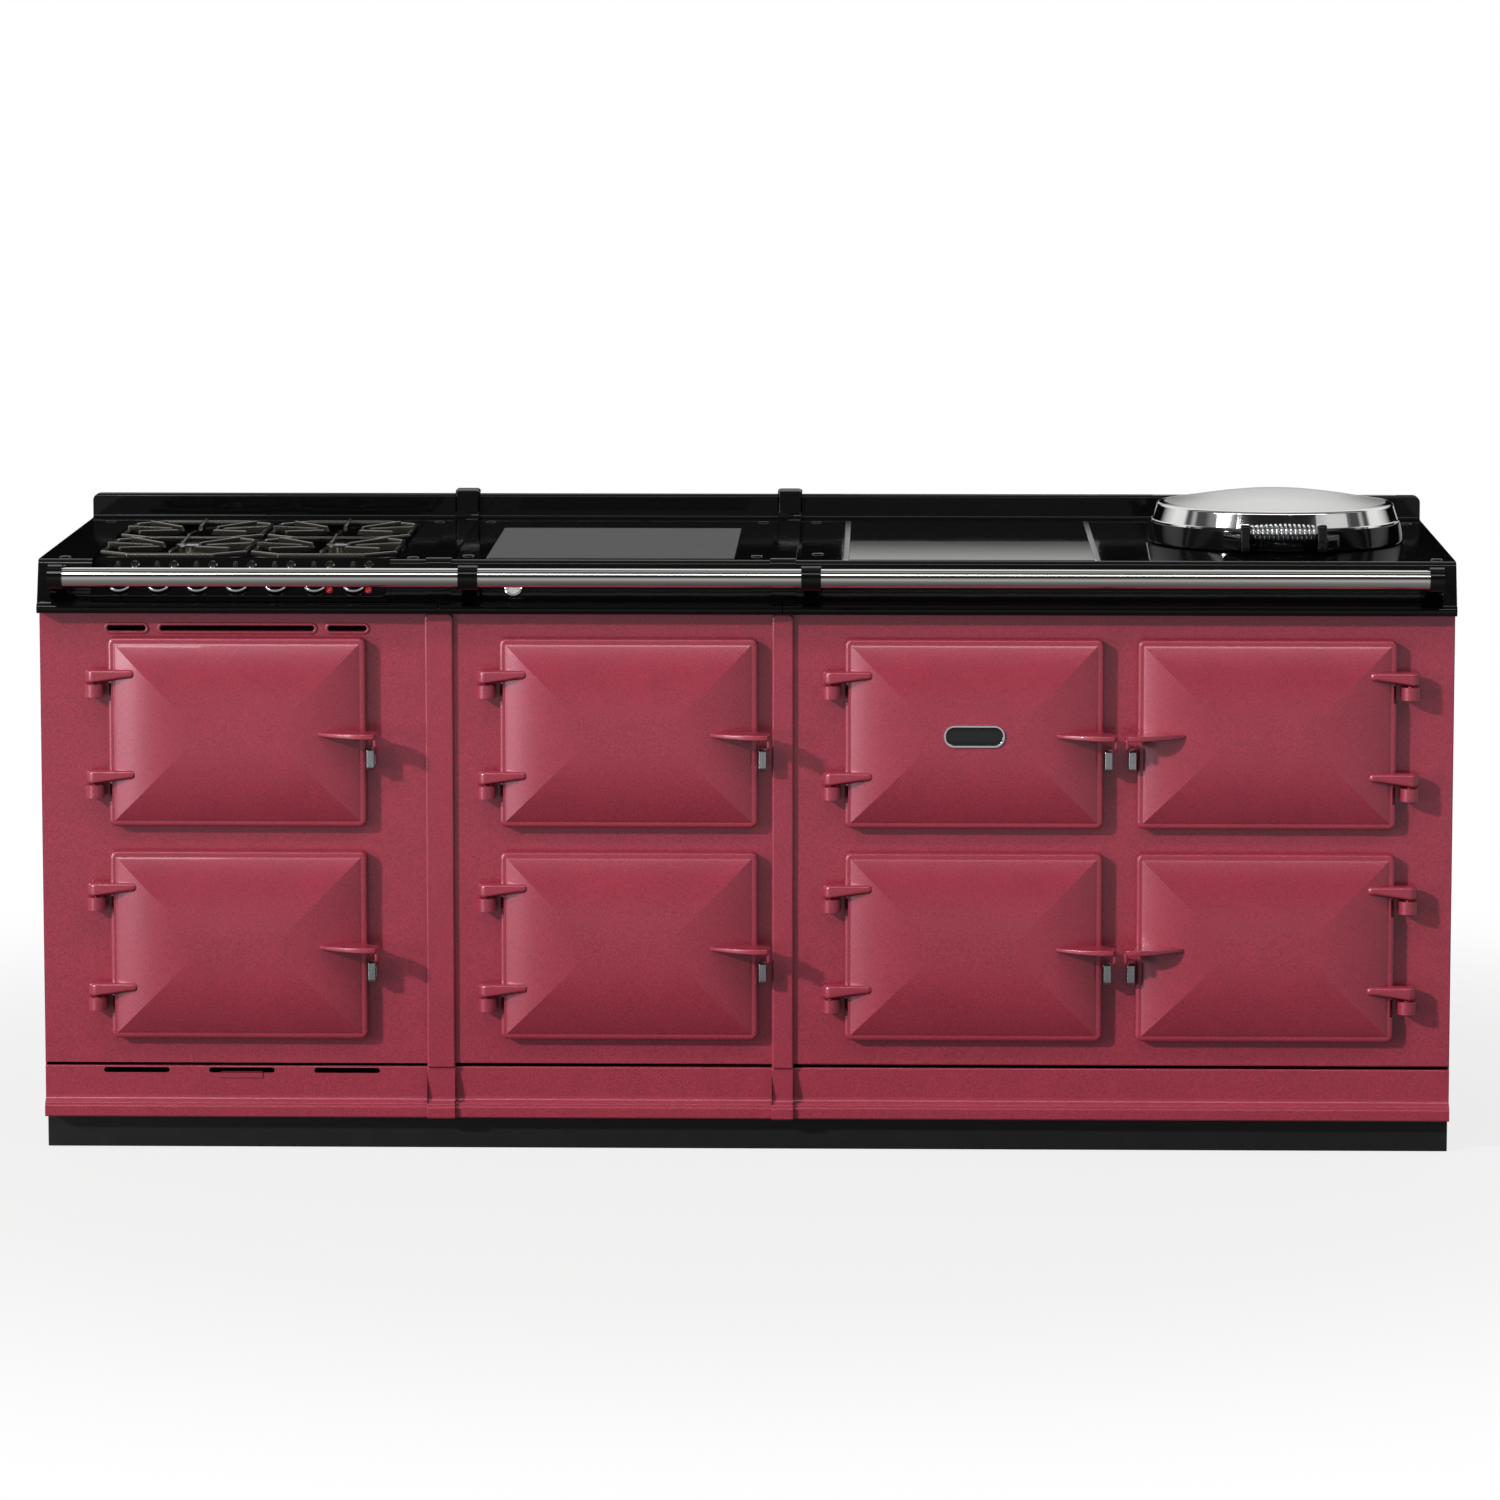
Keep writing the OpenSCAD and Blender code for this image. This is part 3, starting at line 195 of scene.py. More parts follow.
def finish(name, base, metallic=0.0, roughness=0.5, bump=None, bump_mm=0.1, **more):
    """A material called name. base and roughness may be colours and numbers, or functions of the
    sheet that return something that varies. bump is a function that returns a height."""
    material = bpy.data.materials.new(name)
    material.use_nodes = True
    sheet = Sheet(material.node_tree)
    inputs = {"Base Color": base(sheet) if callable(base) else base,
              "Roughness": roughness(sheet) if callable(roughness) else roughness,
              "Metallic": metallic}
    inputs.update(more)
    if bump:
        inputs["Normal"] = sheet.node("ShaderNodeBump", {}, {"Strength": 1.0, "Distance": bump_mm * MM,
                                                             "Height": bump(sheet)})
    skin = sheet.node("ShaderNodeBsdfPrincipled", {}, inputs)
    sheet.node("ShaderNodeOutputMaterial", {}, {"Surface": skin})
    return material


# %% [markdown]
# ## Studio
# Gloss is only as good as what it mirrors. The photographed rail is a long tube, so its bands show
# the whole studio from the floor, over the ceiling, to the back wall: a pale floor, a dark front
# wall, a lamp, a dim ceiling, and a bright strip high behind that stops just above the back edge of
# the hob, which is why the hob stays black. The world here repeats those bands by pitch, the angle
# that a line of sight makes as it turns from the front, over the cooker, to the back. Only glossy
# rays see the bands. The camera sees the paper behind, and matt surfaces get an even light.

# %% Surround
# Degrees of pitch, and how bright the studio is there
BANDS = [(0, 0.42), (7, 0.24), (14, 0.09), (22, 0.006), (33, 0.02), (40, 0.3), (54, 0.25), (62, 0.08),
         (80, 0.08), (88, 0.5), (93, 0.45), (103, 0.08), (113, 0.1), (124, 0.95), (150, 1.0), (161, 0.7),
         (166, 0.4), (170, 0.002)]
world = bpy.data.worlds.new("studio")
bpy.context.scene.world = world
world.use_nodes = True
room = Sheet(world.node_tree)
heading = room.node("ShaderNodeTexCoord", out="Generated")
toward, height = (room.node("ShaderNodeSeparateXYZ", {}, {"Vector": heading}, out=axis) for axis in "YZ")
pitch = height.maths("ARCTAN2", toward * -1) * (1 / math.pi)
bands = room.node("ShaderNodeValToRGB", {"stops": [(angle / 180, (v, v, v, 1)) for angle, v in BANDS]},
                  {"Fac": pitch})
camera_ray, glossy_ray, through_ray = room.rays()
soft = room.blend(toward.step(0.05, 0.7), (0.30, 0.30, 0.30, 1), (1.0, 1.0, 1.0, 1))
paper, mirrored, even = (room.node("ShaderNodeBackground", {}, {"Color": shade, "Strength": 1.0})
                         for shade in ((1, 1, 1, 1), bands, soft))
viewed = room.node("ShaderNodeMixShader", {}, {0: camera_ray, 1: mirrored, 2: paper})
mixed = room.node("ShaderNodeMixShader", {}, {0: camera_ray + glossy_ray + through_ray, 1: even, 2: viewed})
room.node("ShaderNodeOutputWorld", {}, {"Surface": mixed})


# %% Lamps
def softbox(name, spot, target, size, watts, tint=(1, 1, 1)):
    """A rectangular lamp that faces a target."""
    bpy.ops.object.light_add(type="AREA", location=spot)
    lamp = bpy.context.object
    lamp.name, lamp.data.shape, lamp.data.color = name, "RECTANGLE", tint
    lamp.data.size, lamp.data.size_y = size
    lamp.data.energy = watts
    lamp.rotation_euler = (Vector(target) - Vector(spot)).to_track_quat("-Z", "Y").to_euler()
    return lamp


bpy.ops.object.light_add(type="SUN", location=(-5, -4, 4))
key = bpy.context.object
key.name, key.data.energy, key.data.angle = "key", 2.6, math.radians(3.5)
key.rotation_euler = Vector((1.22, 1, -0.70)).to_track_quat("-Z", "Y").to_euler()
softbox("side", (-5.4, -4.6, 0.75), (0, -0.3, 0.5), (2.2, 1.9), 110)
softbox("strip", (0, -1.62, 2.36), (0, -0.3, 0.5), (5.6, 0.24), 24)
softbox("door_window", (-1.26, -2.5, 2.8), (-0.83, -0.33, 0.75), (0.3, 0.25), 3)
softbox("lid_window", (-1.43, -1.84, 2.89), LID_TOP, (0.55, 0.4), 3)
softbox("lid_slit", (1.54, -3.2, 3.17), LID_TOP, (0.22, 0.4), 1.2)
softbox("right_card", (4.3, -2.4, 3.2), LID_TOP, (2.6, 1.0), 4)

# %% [markdown]
# ## Floor
# A plain pale floor that carries on past the edge of the picture. The camera sees it at the paper
# white of the background, and only close to the cooker does it darken with the cooker's shadow.
# In reflections its glow fades out towards the cooker, a painted shade that deepens near its base.

# %% Floor
bpy.ops.object.select_all(action="DESELECT")
bpy.ops.mesh.primitive_plane_add(size=400)
floor = bpy.context.object
floor.name = "floor"
floor_paper = bpy.data.materials.new("floor_paper")
floor_paper.use_nodes = True
sheet = Sheet(floor_paper.node_tree)
pale = sheet.node("ShaderNodeBsdfDiffuse", {}, {"Color": (0.42, 0.42, 0.41, 1)})
glow = sheet.node("ShaderNodeEmission", {}, {"Color": (1, 1, 1, 1), "Strength": 1.0})
far = sheet.length(sheet.place())
camera_ray, glossy_ray, through_ray = sheet.rays()
seen = 0.80 + far.step(1.2, 2.6) * 0.20
# Painted shade: seen in reflections, the floor's glow fades out towards the cooker by distance, over the real
# shadow on the dim floor.
gloss_glow_with_painted_shade = far.step(0.2, 4.0) * 0.44
share = camera_ray * seen + (glossy_ray + through_ray) * gloss_glow_with_painted_shade
dim = sheet.node("ShaderNodeBsdfDiffuse", {}, {"Color": (0.10, 0.10, 0.10, 1)})
matt = sheet.node("ShaderNodeMixShader", {}, {0: camera_ray, 1: dim, 2: pale})
sheet.node("ShaderNodeOutputMaterial", {}, {"Surface": sheet.node("ShaderNodeMixShader", {}, {
    0: share, 1: matt, 2: glow})})
floor.data.materials.append(floor_paper)

# %% Cards behind the hob
def back_card(name, low, high, foot, top, shade):
    """A card that only gloss sees, dark at its foot and pale at its top. It stands behind the hob."""
    bpy.ops.object.select_all(action="DESELECT")
    bpy.ops.mesh.primitive_plane_add(size=1, location=((low + high) / 2, 2.2, (foot + top) / 2),
                                     rotation=(math.radians(90), 0, 0))
    card = bpy.context.object
    card.scale = (high - low, top - foot, 1)
    card.name = card.data.name = name
    bpy.ops.object.transform_apply(location=True, rotation=True, scale=True)
    card.visible_camera = card.visible_diffuse = card.visible_shadow = False
    glowing = bpy.data.materials.new(name)
    glowing.use_nodes = True
    sheet = Sheet(glowing.node_tree)
    height = sheet.node("ShaderNodeSeparateXYZ", {}, {"Vector": sheet.place()}, out="Z")
    tone = sheet.blend(height.step(foot, foot + shade), (0.01, 0.01, 0.01, 1), (0.62, 0.62, 0.61, 1))
    light = sheet.node("ShaderNodeEmission", {}, {"Color": tone})
    sheet.node("ShaderNodeOutputMaterial", {}, {"Surface": light})
    card.data.materials.append(glowing)


back_card("glass_card", 0.125, 0.60, 1.085, 1.5, 0.06)
back_card("lid_card", 0.70, 1.15, 1.0, 1.6, 0.12)

# %% [markdown]
# ## Vitreous enamel
# The coloured fronts and doors are cast iron with glass fused onto them in three coats. Close up the
# colour is not flat: fine pale and dark grains give it a pearly look, the gloss has the slight
# ripple called orange peel, and the body of the colour scatters light wider than the clear top coat.
# A Principled shader with a coat over a rougher base does both, and noise of two sizes does the rest.

# %% Raspberry enamel
def raspberry_colour(sheet):
    grain = sheet.noise(1.7, 3)
    cloud = sheet.noise(60, 2)
    share = (grain - 0.5) * 1.9 + 0.5 + (cloud - 0.5) * 0.25
    return sheet.blend(share.step(0.0, 1.0), colour(122, 34, 49), colour(168, 52, 72))


def enamel_ripple(sheet):
    return sheet.noise(9, 2) * 0.8 + sheet.noise(1.7, 2) * 0.05


raspberry = finish("raspberry_enamel", raspberry_colour, roughness=0.34, bump=enamel_ripple,
                   bump_mm=0.09, **{"Coat Weight": 0.4, "Coat Roughness": 0.04,
                                    "Specular IOR Level": 0.9, "Specular Tint": (1.0, 0.72, 0.84, 1)})


# %% Black enamel
def black_colour(sheet):
    return sheet.blend(sheet.noise(1.4, 2), colour(6, 6, 6), colour(12, 12, 13))


def black_gloss(sheet):
    return sheet.noise(45, 3) * 0.06 + 0.03


def casting_ripple(sheet):
    return sheet.noise(22, 2) * 0.9 + sheet.noise(5, 2) * 0.12


black = finish("black_enamel", black_colour, roughness=black_gloss, bump=casting_ripple, bump_mm=0.16,
               **{"Specular IOR Level": 0.26})

# %% [markdown]
# ## Metals
# The rails and the lid are polished until they mirror the room, and what gives them away as real
# metal is fine polishing lines and small changes of gloss. The catches are brushed, the pan supports
# and burners are rough castings, and the warming plate is ground aluminium with a satin sheen.

# %% Polished, brushed and cast metals
def polish_along_x(sheet):
    return sheet.noise(1.1, 3, (0.02, 1, 1)) * 0.05 + 0.07


polished = finish("polished_steel", colour(214, 212, 208), 1.0, polish_along_x,
                  bump=ripple(1.0, 3, (0.002, 1, 1)), bump_mm=0.003)


def spun_rings(sheet):
    """Fine rings round the lid's middle, as a spun sheet keeps them."""
    spot = sheet.node("ShaderNodeVectorMath", {"operation": "SUBTRACT"},
                      {0: sheet.place(), 1: (*LID_TOP[:2], 0)})
    flat = sheet.node("ShaderNodeVectorMath", {"operation": "MULTIPLY"}, {0: spot, 1: (1, 1, 0)})
    return sheet.length(flat)


def lid_gloss(sheet):
    rings = sheet.node("ShaderNodeTexNoise", {"noise_dimensions": "1D"},
                       {"W": spun_rings(sheet) * 900, "Detail": 2.0})
    return rings * 0.035 + sheet.noise(50, 2) * 0.03 + 0.02


crown_satin = finish("lid_crown", colour(224, 224, 223), 1.0, lambda s: lid_gloss(s) + 0.2,
                     bump=ripple(70, 1), bump_mm=0.1)
mirror = finish("lid_mirror", colour(222, 222, 221), 1.0, lid_gloss,
                bump=ripple(70, 1), bump_mm=0.15)


def brushed_tone(sheet):
    return sheet.blend(sheet.noise(0.8, 3, (1, 1, 0.04)), colour(120, 122, 126), colour(205, 207, 210))


brushed = finish("brushed_steel", brushed_tone, 1.0, 0.24,
                 bump=ripple(0.7, 3, (1, 1, 0.03)), bump_mm=0.02)


def sheet_tone(sheet):
    return sheet.blend(sheet.noise(30, 4).step(0.3, 0.7), colour(128, 130, 133), colour(156, 158, 160))


sheet_steel = finish("sheet_steel", sheet_tone, 1.0, cloudy(40, 3, 0.2, 0.3),
                     bump=ripple(6, 3), bump_mm=0.02)


def spangle(sheet):
    """Grey crystals of zinc, as a galvanised sheet shows them."""
    grains = sheet.node("ShaderNodeTexVoronoi", {}, {"Vector": sheet.place(), "Scale": 110.0}, out="Color")
    return sheet.blend(grains.step(0.15, 0.85), colour(150, 153, 156), colour(184, 187, 189))


zinc_sheet = finish("zinc_sheet", spangle, 0.6, cloudy(12, 3, 0.15, 0.36),
                    bump=ripple(160, 2), bump_mm=0.5)


def iron_tone(sheet):
    return sheet.blend(sheet.noise(3, 4).step(0.25, 0.75), colour(20, 20, 21), colour(44, 43, 42))


cast_iron = finish("cast_iron", iron_tone, 0.0, cloudy(2.2, 3, 0.3, 0.4),
                   bump=ripple(1.3, 4), bump_mm=0.12)
grate_enamel = finish("grate_enamel", grains(2, 3, colour(44, 41, 36), colour(84, 79, 70)),
                      0.7, cloudy(4, 3, 0.14, 0.08), bump=ripple(2.4, 3),
                      bump_mm=0.08, **{"Coat Weight": 0.8, "Coat Roughness": 0.1})


def oven_specks(sheet):
    return sheet.blend(sheet.noise(2.5, 3).step(0.6, 0.72), colour(26, 27, 31), colour(96, 98, 104))


oven_enamel = finish("oven_enamel", oven_specks, 0.0, 0.3, bump=ripple(5, 2), bump_mm=0.05)


# %% Satin, glass, plastic and small finishes
GROUND = (0.02, 1, 1)                          # grinding marks run along x


def satin_tone(sheet):
    return sheet.blend(sheet.noise(0.9, 4, GROUND), colour(46, 46, 47), colour(62, 62, 63))


def glass_dots(sheet):
    return sheet.blend(sheet.noise(0.9, 1).step(0.66, 0.7), colour(9, 9, 10), colour(40, 40, 41))


satin = finish("satin_grey", satin_tone, 0.75, cloudy(0.9, 4, 0.2, 0.34, GROUND),
               bump=ripple(0.8, 3, GROUND), bump_mm=0.02)
glass = finish("black_glass", glass_dots, 0.0, cloudy(90, 3, 0.05, 0.01), **{"IOR": 1.52})
plinth_black = finish("plinth_black", grains(1.2, 3, colour(12, 12, 12), colour(26, 26, 26)),
                      0.0, cloudy(30, 2, 0.15, 0.35), bump=ripple(1.1, 3), bump_mm=0.05)
knob_black = finish("knob_black", grains(1, 3, colour(10, 10, 11), colour(24, 24, 25)),
                    0.0, cloudy(8, 2, 0.1, 0.12), bump=ripple(1.5, 2), bump_mm=0.02)
chrome = finish("chrome", colour(225, 226, 228), 1.0, cloudy(12, 2, 0.05, 0.03),
                bump=ripple(9, 2), bump_mm=0.01)
red_lens = finish("red_lens", grains(2, 1, colour(140, 0, 4), colour(184, 4, 6)),
                  0.0, 0.12, **{"Coat Weight": 0.5, "Emission Color": colour(200, 0, 4),
                                "Emission Strength": 0.12})
dial_face = finish("dial_face", grains(1.5, 2, colour(212, 212, 208), colour(232, 232, 228)),
                   0.0, 0.35)
burner_metal = finish("burner_metal", grains(2.5, 3, colour(120, 112, 98), colour(196, 190, 178)),
                      1.0, cloudy(2, 3, 0.2, 0.2), bump=ripple(1.6, 3), bump_mm=0.04)


def rope_strands(sheet):
    strands = sheet.noise(1.4, 3, (1, 2, 1)).step(0.35, 0.65)
    return sheet.blend(strands, colour(92, 88, 80), colour(168, 162, 150))


rope = finish("seal_rope", rope_strands, 0.0, 0.9, bump=ripple(1.2, 3), bump_mm=0.5)
element_skin = finish("element_skin", grains(4, 3, colour(46, 44, 44), colour(84, 78, 74)),
                      0.8, 0.5, bump=ripple(2, 3), bump_mm=0.05)
print(len(bpy.data.materials), "materials")

# %% [markdown]
# ## Tools of the bench
# Every piece below is made from the same few moves that one makes by hand. A line of points is drawn
# by extruding a single vertex, filled to a face and pulled to a thickness, or spun round an axis.
# Blender's operators work on whatever is selected, so each move first clears the selection and then
# picks verts, edges or faces by where they are.

# %% Selecting and editing
def lay_down():
    """Leaves edit mode with nothing selected."""
    if bpy.context.object and bpy.context.object.mode != "OBJECT":
        bpy.ops.object.mode_set(mode="OBJECT")
    bpy.ops.object.select_all(action="DESELECT")


def hold(*pieces):
    """Selects pieces, the first of them active."""
    lay_down()
    for piece in pieces:
        piece.select_set(True)
    bpy.context.view_layer.objects.active = pieces[0]
    return pieces[0]


@contextmanager
def editing(piece):
    hold(piece)
    bpy.ops.object.mode_set(mode="EDIT")
    yield piece
    bpy.ops.object.mode_set(mode="OBJECT")


def pick(kind, test=None):
    """Selects the edited mesh's verts, edges or faces for which test(middle in mm, element) is true."""
    bpy.ops.mesh.select_mode(type=kind)
    bpy.ops.mesh.select_all(action="SELECT" if test is None else "DESELECT")
    if test is None:
        return
    mesh = bpy.context.edit_object.data
    form = bmesh.from_edit_mesh(mesh)
    for part in {"VERT": form.verts, "EDGE": form.edges, "FACE": form.faces}[kind]:
        corners = [part] if kind == "VERT" else part.verts
        middle = sum((v.co for v in corners), Vector()) / len(corners) / MM
        if test(middle, part):
            part.select_set(True)
    form.select_flush_mode()
    bmesh.update_edit_mesh(mesh)


def outward(piece):
    """Merges doubles and turns the faces outwards."""
    with editing(piece):
        pick("VERT")
        bpy.ops.mesh.remove_doubles(threshold=0.00001)
        bpy.ops.mesh.normals_make_consistent(inside=False)
    return piece


# %% Starting a piece
def named(name):
    """Names the new primitive and puts its place, turn and size into its mesh."""
    piece = bpy.context.object
    piece.name = piece.data.name = name
    bpy.ops.object.transform_apply(location=True, rotation=True, scale=True)
    return piece


def block(name, low, high):
    """A box between two corners in mm."""
    lay_down()
    low, high = Vector(low) * MM, Vector(high) * MM
    bpy.ops.mesh.primitive_cube_add(size=1, location=(low + high) / 2, scale=high - low)
    return named(name)


def rod(name, start, end, radius, sides=32, tip=None):
    """A cylinder, or a cone with a tip radius, between two points in mm."""
    lay_down()
    start, end = Vector(start) * MM, Vector(end) * MM
    turn = (end - start).to_track_quat("Z", "Y").to_euler()
    bpy.ops.mesh.primitive_cone_add(vertices=sides, radius1=radius * MM,
                                    radius2=(radius if tip is None else tip) * MM,
                                    depth=(end - start).length, location=(start + end) / 2, rotation=turn)
    return named(name)


def line(name, points):
    """Draws a chain of edges through points in mm, by pulling one vertex from each to the next."""
    lay_down()
    bpy.ops.mesh.primitive_plane_add(size=0.002, location=Vector(points[0]) * MM)
    piece = named(name)
    with editing(piece):
        pick("VERT")
        bpy.ops.mesh.merge(type="CENTER")
        for here, there in zip(points, points[1:]):
            bpy.ops.mesh.extrude_region_move(
                TRANSFORM_OT_translate={"value": (Vector(there) - Vector(here)) * MM})
    return piece


def sheet_of(name, points, pull):
    """Fills an outline of points in mm and pulls it to a solid."""
    piece = line(name, points)
    with editing(piece):
        pick("VERT")
        bpy.ops.mesh.edge_face_add()
        pick("FACE")
        bpy.ops.mesh.extrude_region_move(TRANSFORM_OT_translate={"value": Vector(pull) * MM})
    return outward(piece)


def spun(name, profile, centre, steps=96):
    """Spins a profile of radius and height round the upright axis through centre, in mm. A profile
    whose ends aren't both on the axis is closed first."""
    x, y, z = centre
    if profile[0][0] or profile[-1][0]:
        profile = profile + profile[:1]
    piece = line(name, [(x + r, y, z + h) for r, h in profile])
    with editing(piece):
        pick("VERT")
        bpy.ops.mesh.spin(steps=steps, angle=2 * math.pi, center=Vector(centre) * MM, axis=(0, 0, 1))
    return outward(piece)


def arc(centre, radius, start, end, count):
    """Points of an arc, angles in degrees."""
    turns = [math.radians(start + (end - start) * i / count) for i in range(count + 1)]
    return [(centre[0] + radius * math.cos(t), centre[1] + radius * math.sin(t)) for t in turns]


# %% Shaping and finishing a piece
def modify(piece, kind, **settings):
    """Adds a modifier and applies it."""
    hold(piece)
    bpy.ops.object.modifier_add(type=kind)
    modifier = piece.modifiers[-1]
    for name, value in settings.items():
        setattr(modifier, name, value)
    bpy.ops.object.modifier_apply(modifier=modifier.name)
    return piece


def bevelled(piece, width, segments, angle=50, **settings):
    """Rounds the edges sharper than an angle."""
    return modify(piece, "BEVEL", width=width * MM, segments=segments, limit_method="ANGLE",
                  angle_limit=math.radians(angle), **settings)


def smooth(piece, angle=35):
    """Shades the faces as one surface across the edges under an angle."""
    hold(piece)
    bpy.ops.object.shade_smooth_by_angle(angle=math.radians(angle))
    return modify(piece, "WEIGHTED_NORMAL", keep_sharp=True, weight=60)


def soften(piece, width, segments=2, angle=35):
    """Rounds the edges and then shades the piece, as a casting mould or a file leaves it."""
    return smooth(bevelled(piece, width, segments, angle,
                           miter_outer="MITER_ARC" if segments > 1 else "MITER_SHARP"))


def cut(piece, *tools, operation="DIFFERENCE"):
    """Takes tools away from a piece, or joins them to it, as one closed solid."""
    for tool in tools:
        modify(piece, "BOOLEAN", object=tool, operation=operation, solver="EXACT")
        bpy.data.objects.remove(tool)
    return piece


def together(name, *pieces):
    """Joins pieces into one object."""
    hold(*pieces)
    if len(pieces) > 1:
        bpy.ops.object.join()
    pieces[0].name = pieces[0].data.name = name
    return pieces[0]


def shift(x, y, z):
    """A matrix that moves by mm."""
    return Matrix.Translation(Vector((x, y, z)) * MM)


def copied(piece, name, move):
    """A copy with its own mesh, moved by a matrix. A mirrored copy is turned the right way out."""
    twin = piece.copy()
    twin.data = piece.data.copy()
    bpy.context.scene.collection.objects.link(twin)
    twin.name = twin.data.name = name
    twin.data.transform(move)
    if move.determinant() < 0:
        twin.data.flip_normals()
    return twin


def from_drawing(name, node, width=1.0, segments=2, angle=35):
    """A clean copy of a construction node, with its edges rounded."""
    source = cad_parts[node]
    piece = copied(source, name, Matrix.Identity(4))
    piece.parent = None
    for key in [k for k in piece.keys() if k.startswith("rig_")]:
        del piece[key]
    with editing(piece):
        pick("VERT")
        bpy.ops.mesh.remove_doubles(threshold=0.00001)
        bpy.ops.mesh.dissolve_limited(angle_limit=math.radians(0.5))
    if width:
        soften(piece, width, segments, angle)
    return piece


def settle(piece, material, body, slot, *nodes):
    """Gives a finished piece its material and its body, and hides the construction nodes it stands for. Its
    record slot is taken but not used.
    """
    if material:
        coat(piece, material)
    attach(piece, body)
    if nodes:
        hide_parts(*nodes)
    piece.data.update()
    print(f"{piece.name}: {len(piece.data.polygons)} faces")
    return piece


def coat(piece, material):
    """Gives the whole piece one material."""
    piece.data.materials.clear()
    piece.data.materials.append(material)
    return piece


def paint(piece, material, test):
    """Adds a second material to the faces for which test(middle in mm, face) is true."""
    piece.data.materials.append(material)
    slot = len(piece.data.materials) - 1
    for face in piece.data.polygons:
        if test(face.center / MM, face):
            face.material_index = slot
    return piece


# %% [markdown]
# ## Front plates and valances
# A flat cast plate closes the front of each module, with an oven mouth behind every door and, on the
# gas module, a row of air slots. The plate starts as a box, its openings are cut with rounded boxes,
# and a bevel rounds every rim, just as enamel rounds each edge of the real plate. Round the slots the
# enamel gathers to a raised lip, so each of them gets a ring of its own.

# %% Rounded boxes that cut openings
def rounded_block(name, low, high, radius, axis=1, segments=6):
    """A box whose four edges along one axis (0 x, 1 y, 2 z) are rounded."""
    piece = block(name, low, high)
    with editing(piece):
        pick("EDGE", lambda middle, edge: abs((edge.verts[0].co - edge.verts[1].co).normalized()[axis]) > 0.9)
        bpy.ops.mesh.bevel(offset=radius * MM, segments=segments, affect="EDGES")
    return piece


def mouth_of(door):
    x, z, run = DOORS[door]
    middle = x + run * DOOR_MIDDLE
    return rounded_block("mouth", (middle - MOUTH_X, FRONT - 4, z - MOUTH_Z),
                         (middle + MOUTH_X, FRONT + 10, z + MOUTH_Z), 12)


def air_slot(middle, z, width):
    return rounded_block("slot", (middle - width / 2, FRONT - 12, z - 4),
                         (middle + width / 2, FRONT + 10, z + 4), 3.9)


def slot_rim(middle, z, width):
    """The raised lip round a slot, where the enamel gathers."""
    rim = rounded_block("rim", (middle - width / 2 - 4.5, FRONT - 2.2, z - 8.5),
                        (middle + width / 2 + 4.5, FRONT + 1, z + 8.5), 8.4)
    return soften(cut(rim, air_slot(middle, z, width)), 1.8, 4)


# %% Front plates
FRONT_SLOTS = ((-915.5, 783, 57), (-751.5, 783, 228), (-588.5, 783, 57))   # middle, height and width
VALANCE_SLOTS = ((-908.5, 120, 98), (-751.5, 120, 98), (-594.5, 120, 98))
for name, low, high in (("left", X0 + 0.5, X1 - 0.5), ("middle", X1 + 0.5, X2 - 0.5),
                        ("right", X2 + 0.5, X3 - 0.5)):
    plate = block(f"{name}_front", (low, FRONT, PLATE_LOW), (high, FRONT + 6, PLATE_TOP))
    cut(plate, *[mouth_of(door) for door in DOORS if door.startswith(name)])
    if name == "left":
        cut(plate, *[air_slot(*place) for place in FRONT_SLOTS])
    soften(plate, 1.8, 3)
    if name == "left":
        together(plate.name, plate, *[slot_rim(*place) for place in FRONT_SLOTS])
    settle(plate, raspberry, "cooker", "raspberry_enamel", f"front_plate_{name}")

# %% Valances with their beads and folded tab
def valance_outline(out):
    """Section of the valance, from its foot up, standing out by some mm more."""
    foot, face = -310 - out, -297 - out
    return ([(-294, 51), (foot + 2, 51), (foot, 53), (foot, 64)]
            + arc((foot + 2.2, 66.2), 2.2, 190, 110, 4)
            + arc((foot + 5.2, 70.6), 2.6, 200, 120, 3)
            + arc((face - 9, 82.5), 9, -62, 0, 5)
            + [(face, 124)] + arc((face + 3, 124), 3, 180, 90, 3)[1:] + [(-294, 127)])


def swept(name, outline, low, high):
    """A section of y and z, pulled along x."""
    return sheet_of(name, [(low, y, z) for y, z in outline], (high - low, 0, 0))


runs = [swept("valance", valance_outline(0), low, high)
        for low, high in ((X0, X1 - 0.5), (X1 + 0.5, X2 - 0.5), (X2 + 0.5, X3))]
cut(runs[0], *[air_slot(*place) for place in VALANCE_SLOTS])
tab = block("tab", (-782.5, -298.8, 109), (-720.5, -297.3, 117))
tab_lip = block("tab_lip", (-782.5, -298.8, 116.3), (-720.5, -289.3, 117.2))
valances = together("valances", *runs, tab, tab_lip)
soften(valances, 0.8, 2, angle=50)
settle(valances, raspberry, "cooker", "raspberry_enamel", "base_valances")

# %% [markdown]
# ## Pillars
# A slim cast cover hides each joint between modules. Its top corners are round, and its foot repeats
# the valance's section a little further out, so it looks as if the valance ran through behind it.

# %% Pillars
columns = []
for middle, width in ((X1, 42), (X2, 32)):
    shaft = block("pillar", (middle - width / 2, -307.3, 126), (middle + width / 2, -300.3, 807))
    with editing(shaft):
        pick("EDGE", lambda m, edge: m.z > 806 and abs(m.x - middle) > width / 2 - 1)
        bpy.ops.mesh.bevel(offset=8 * MM, segments=5, affect="EDGES")
    foot = swept("pillar_foot", [(y, z) for y, z in valance_outline(7) if z < 127 and y < -296]
                 + [(-300.4, 126.5), (-300.4, 86), (-310.4, 66), (-310.4, 51)],
                 middle - width / 2, middle + width / 2)
    columns += [soften(shaft, 3.2, 4), soften(foot, 1.5, 2, angle=50)]
pillars = together("pillar_covers", *columns)
settle(pillars, raspberry, "cooker", "raspberry_enamel", "pillars")

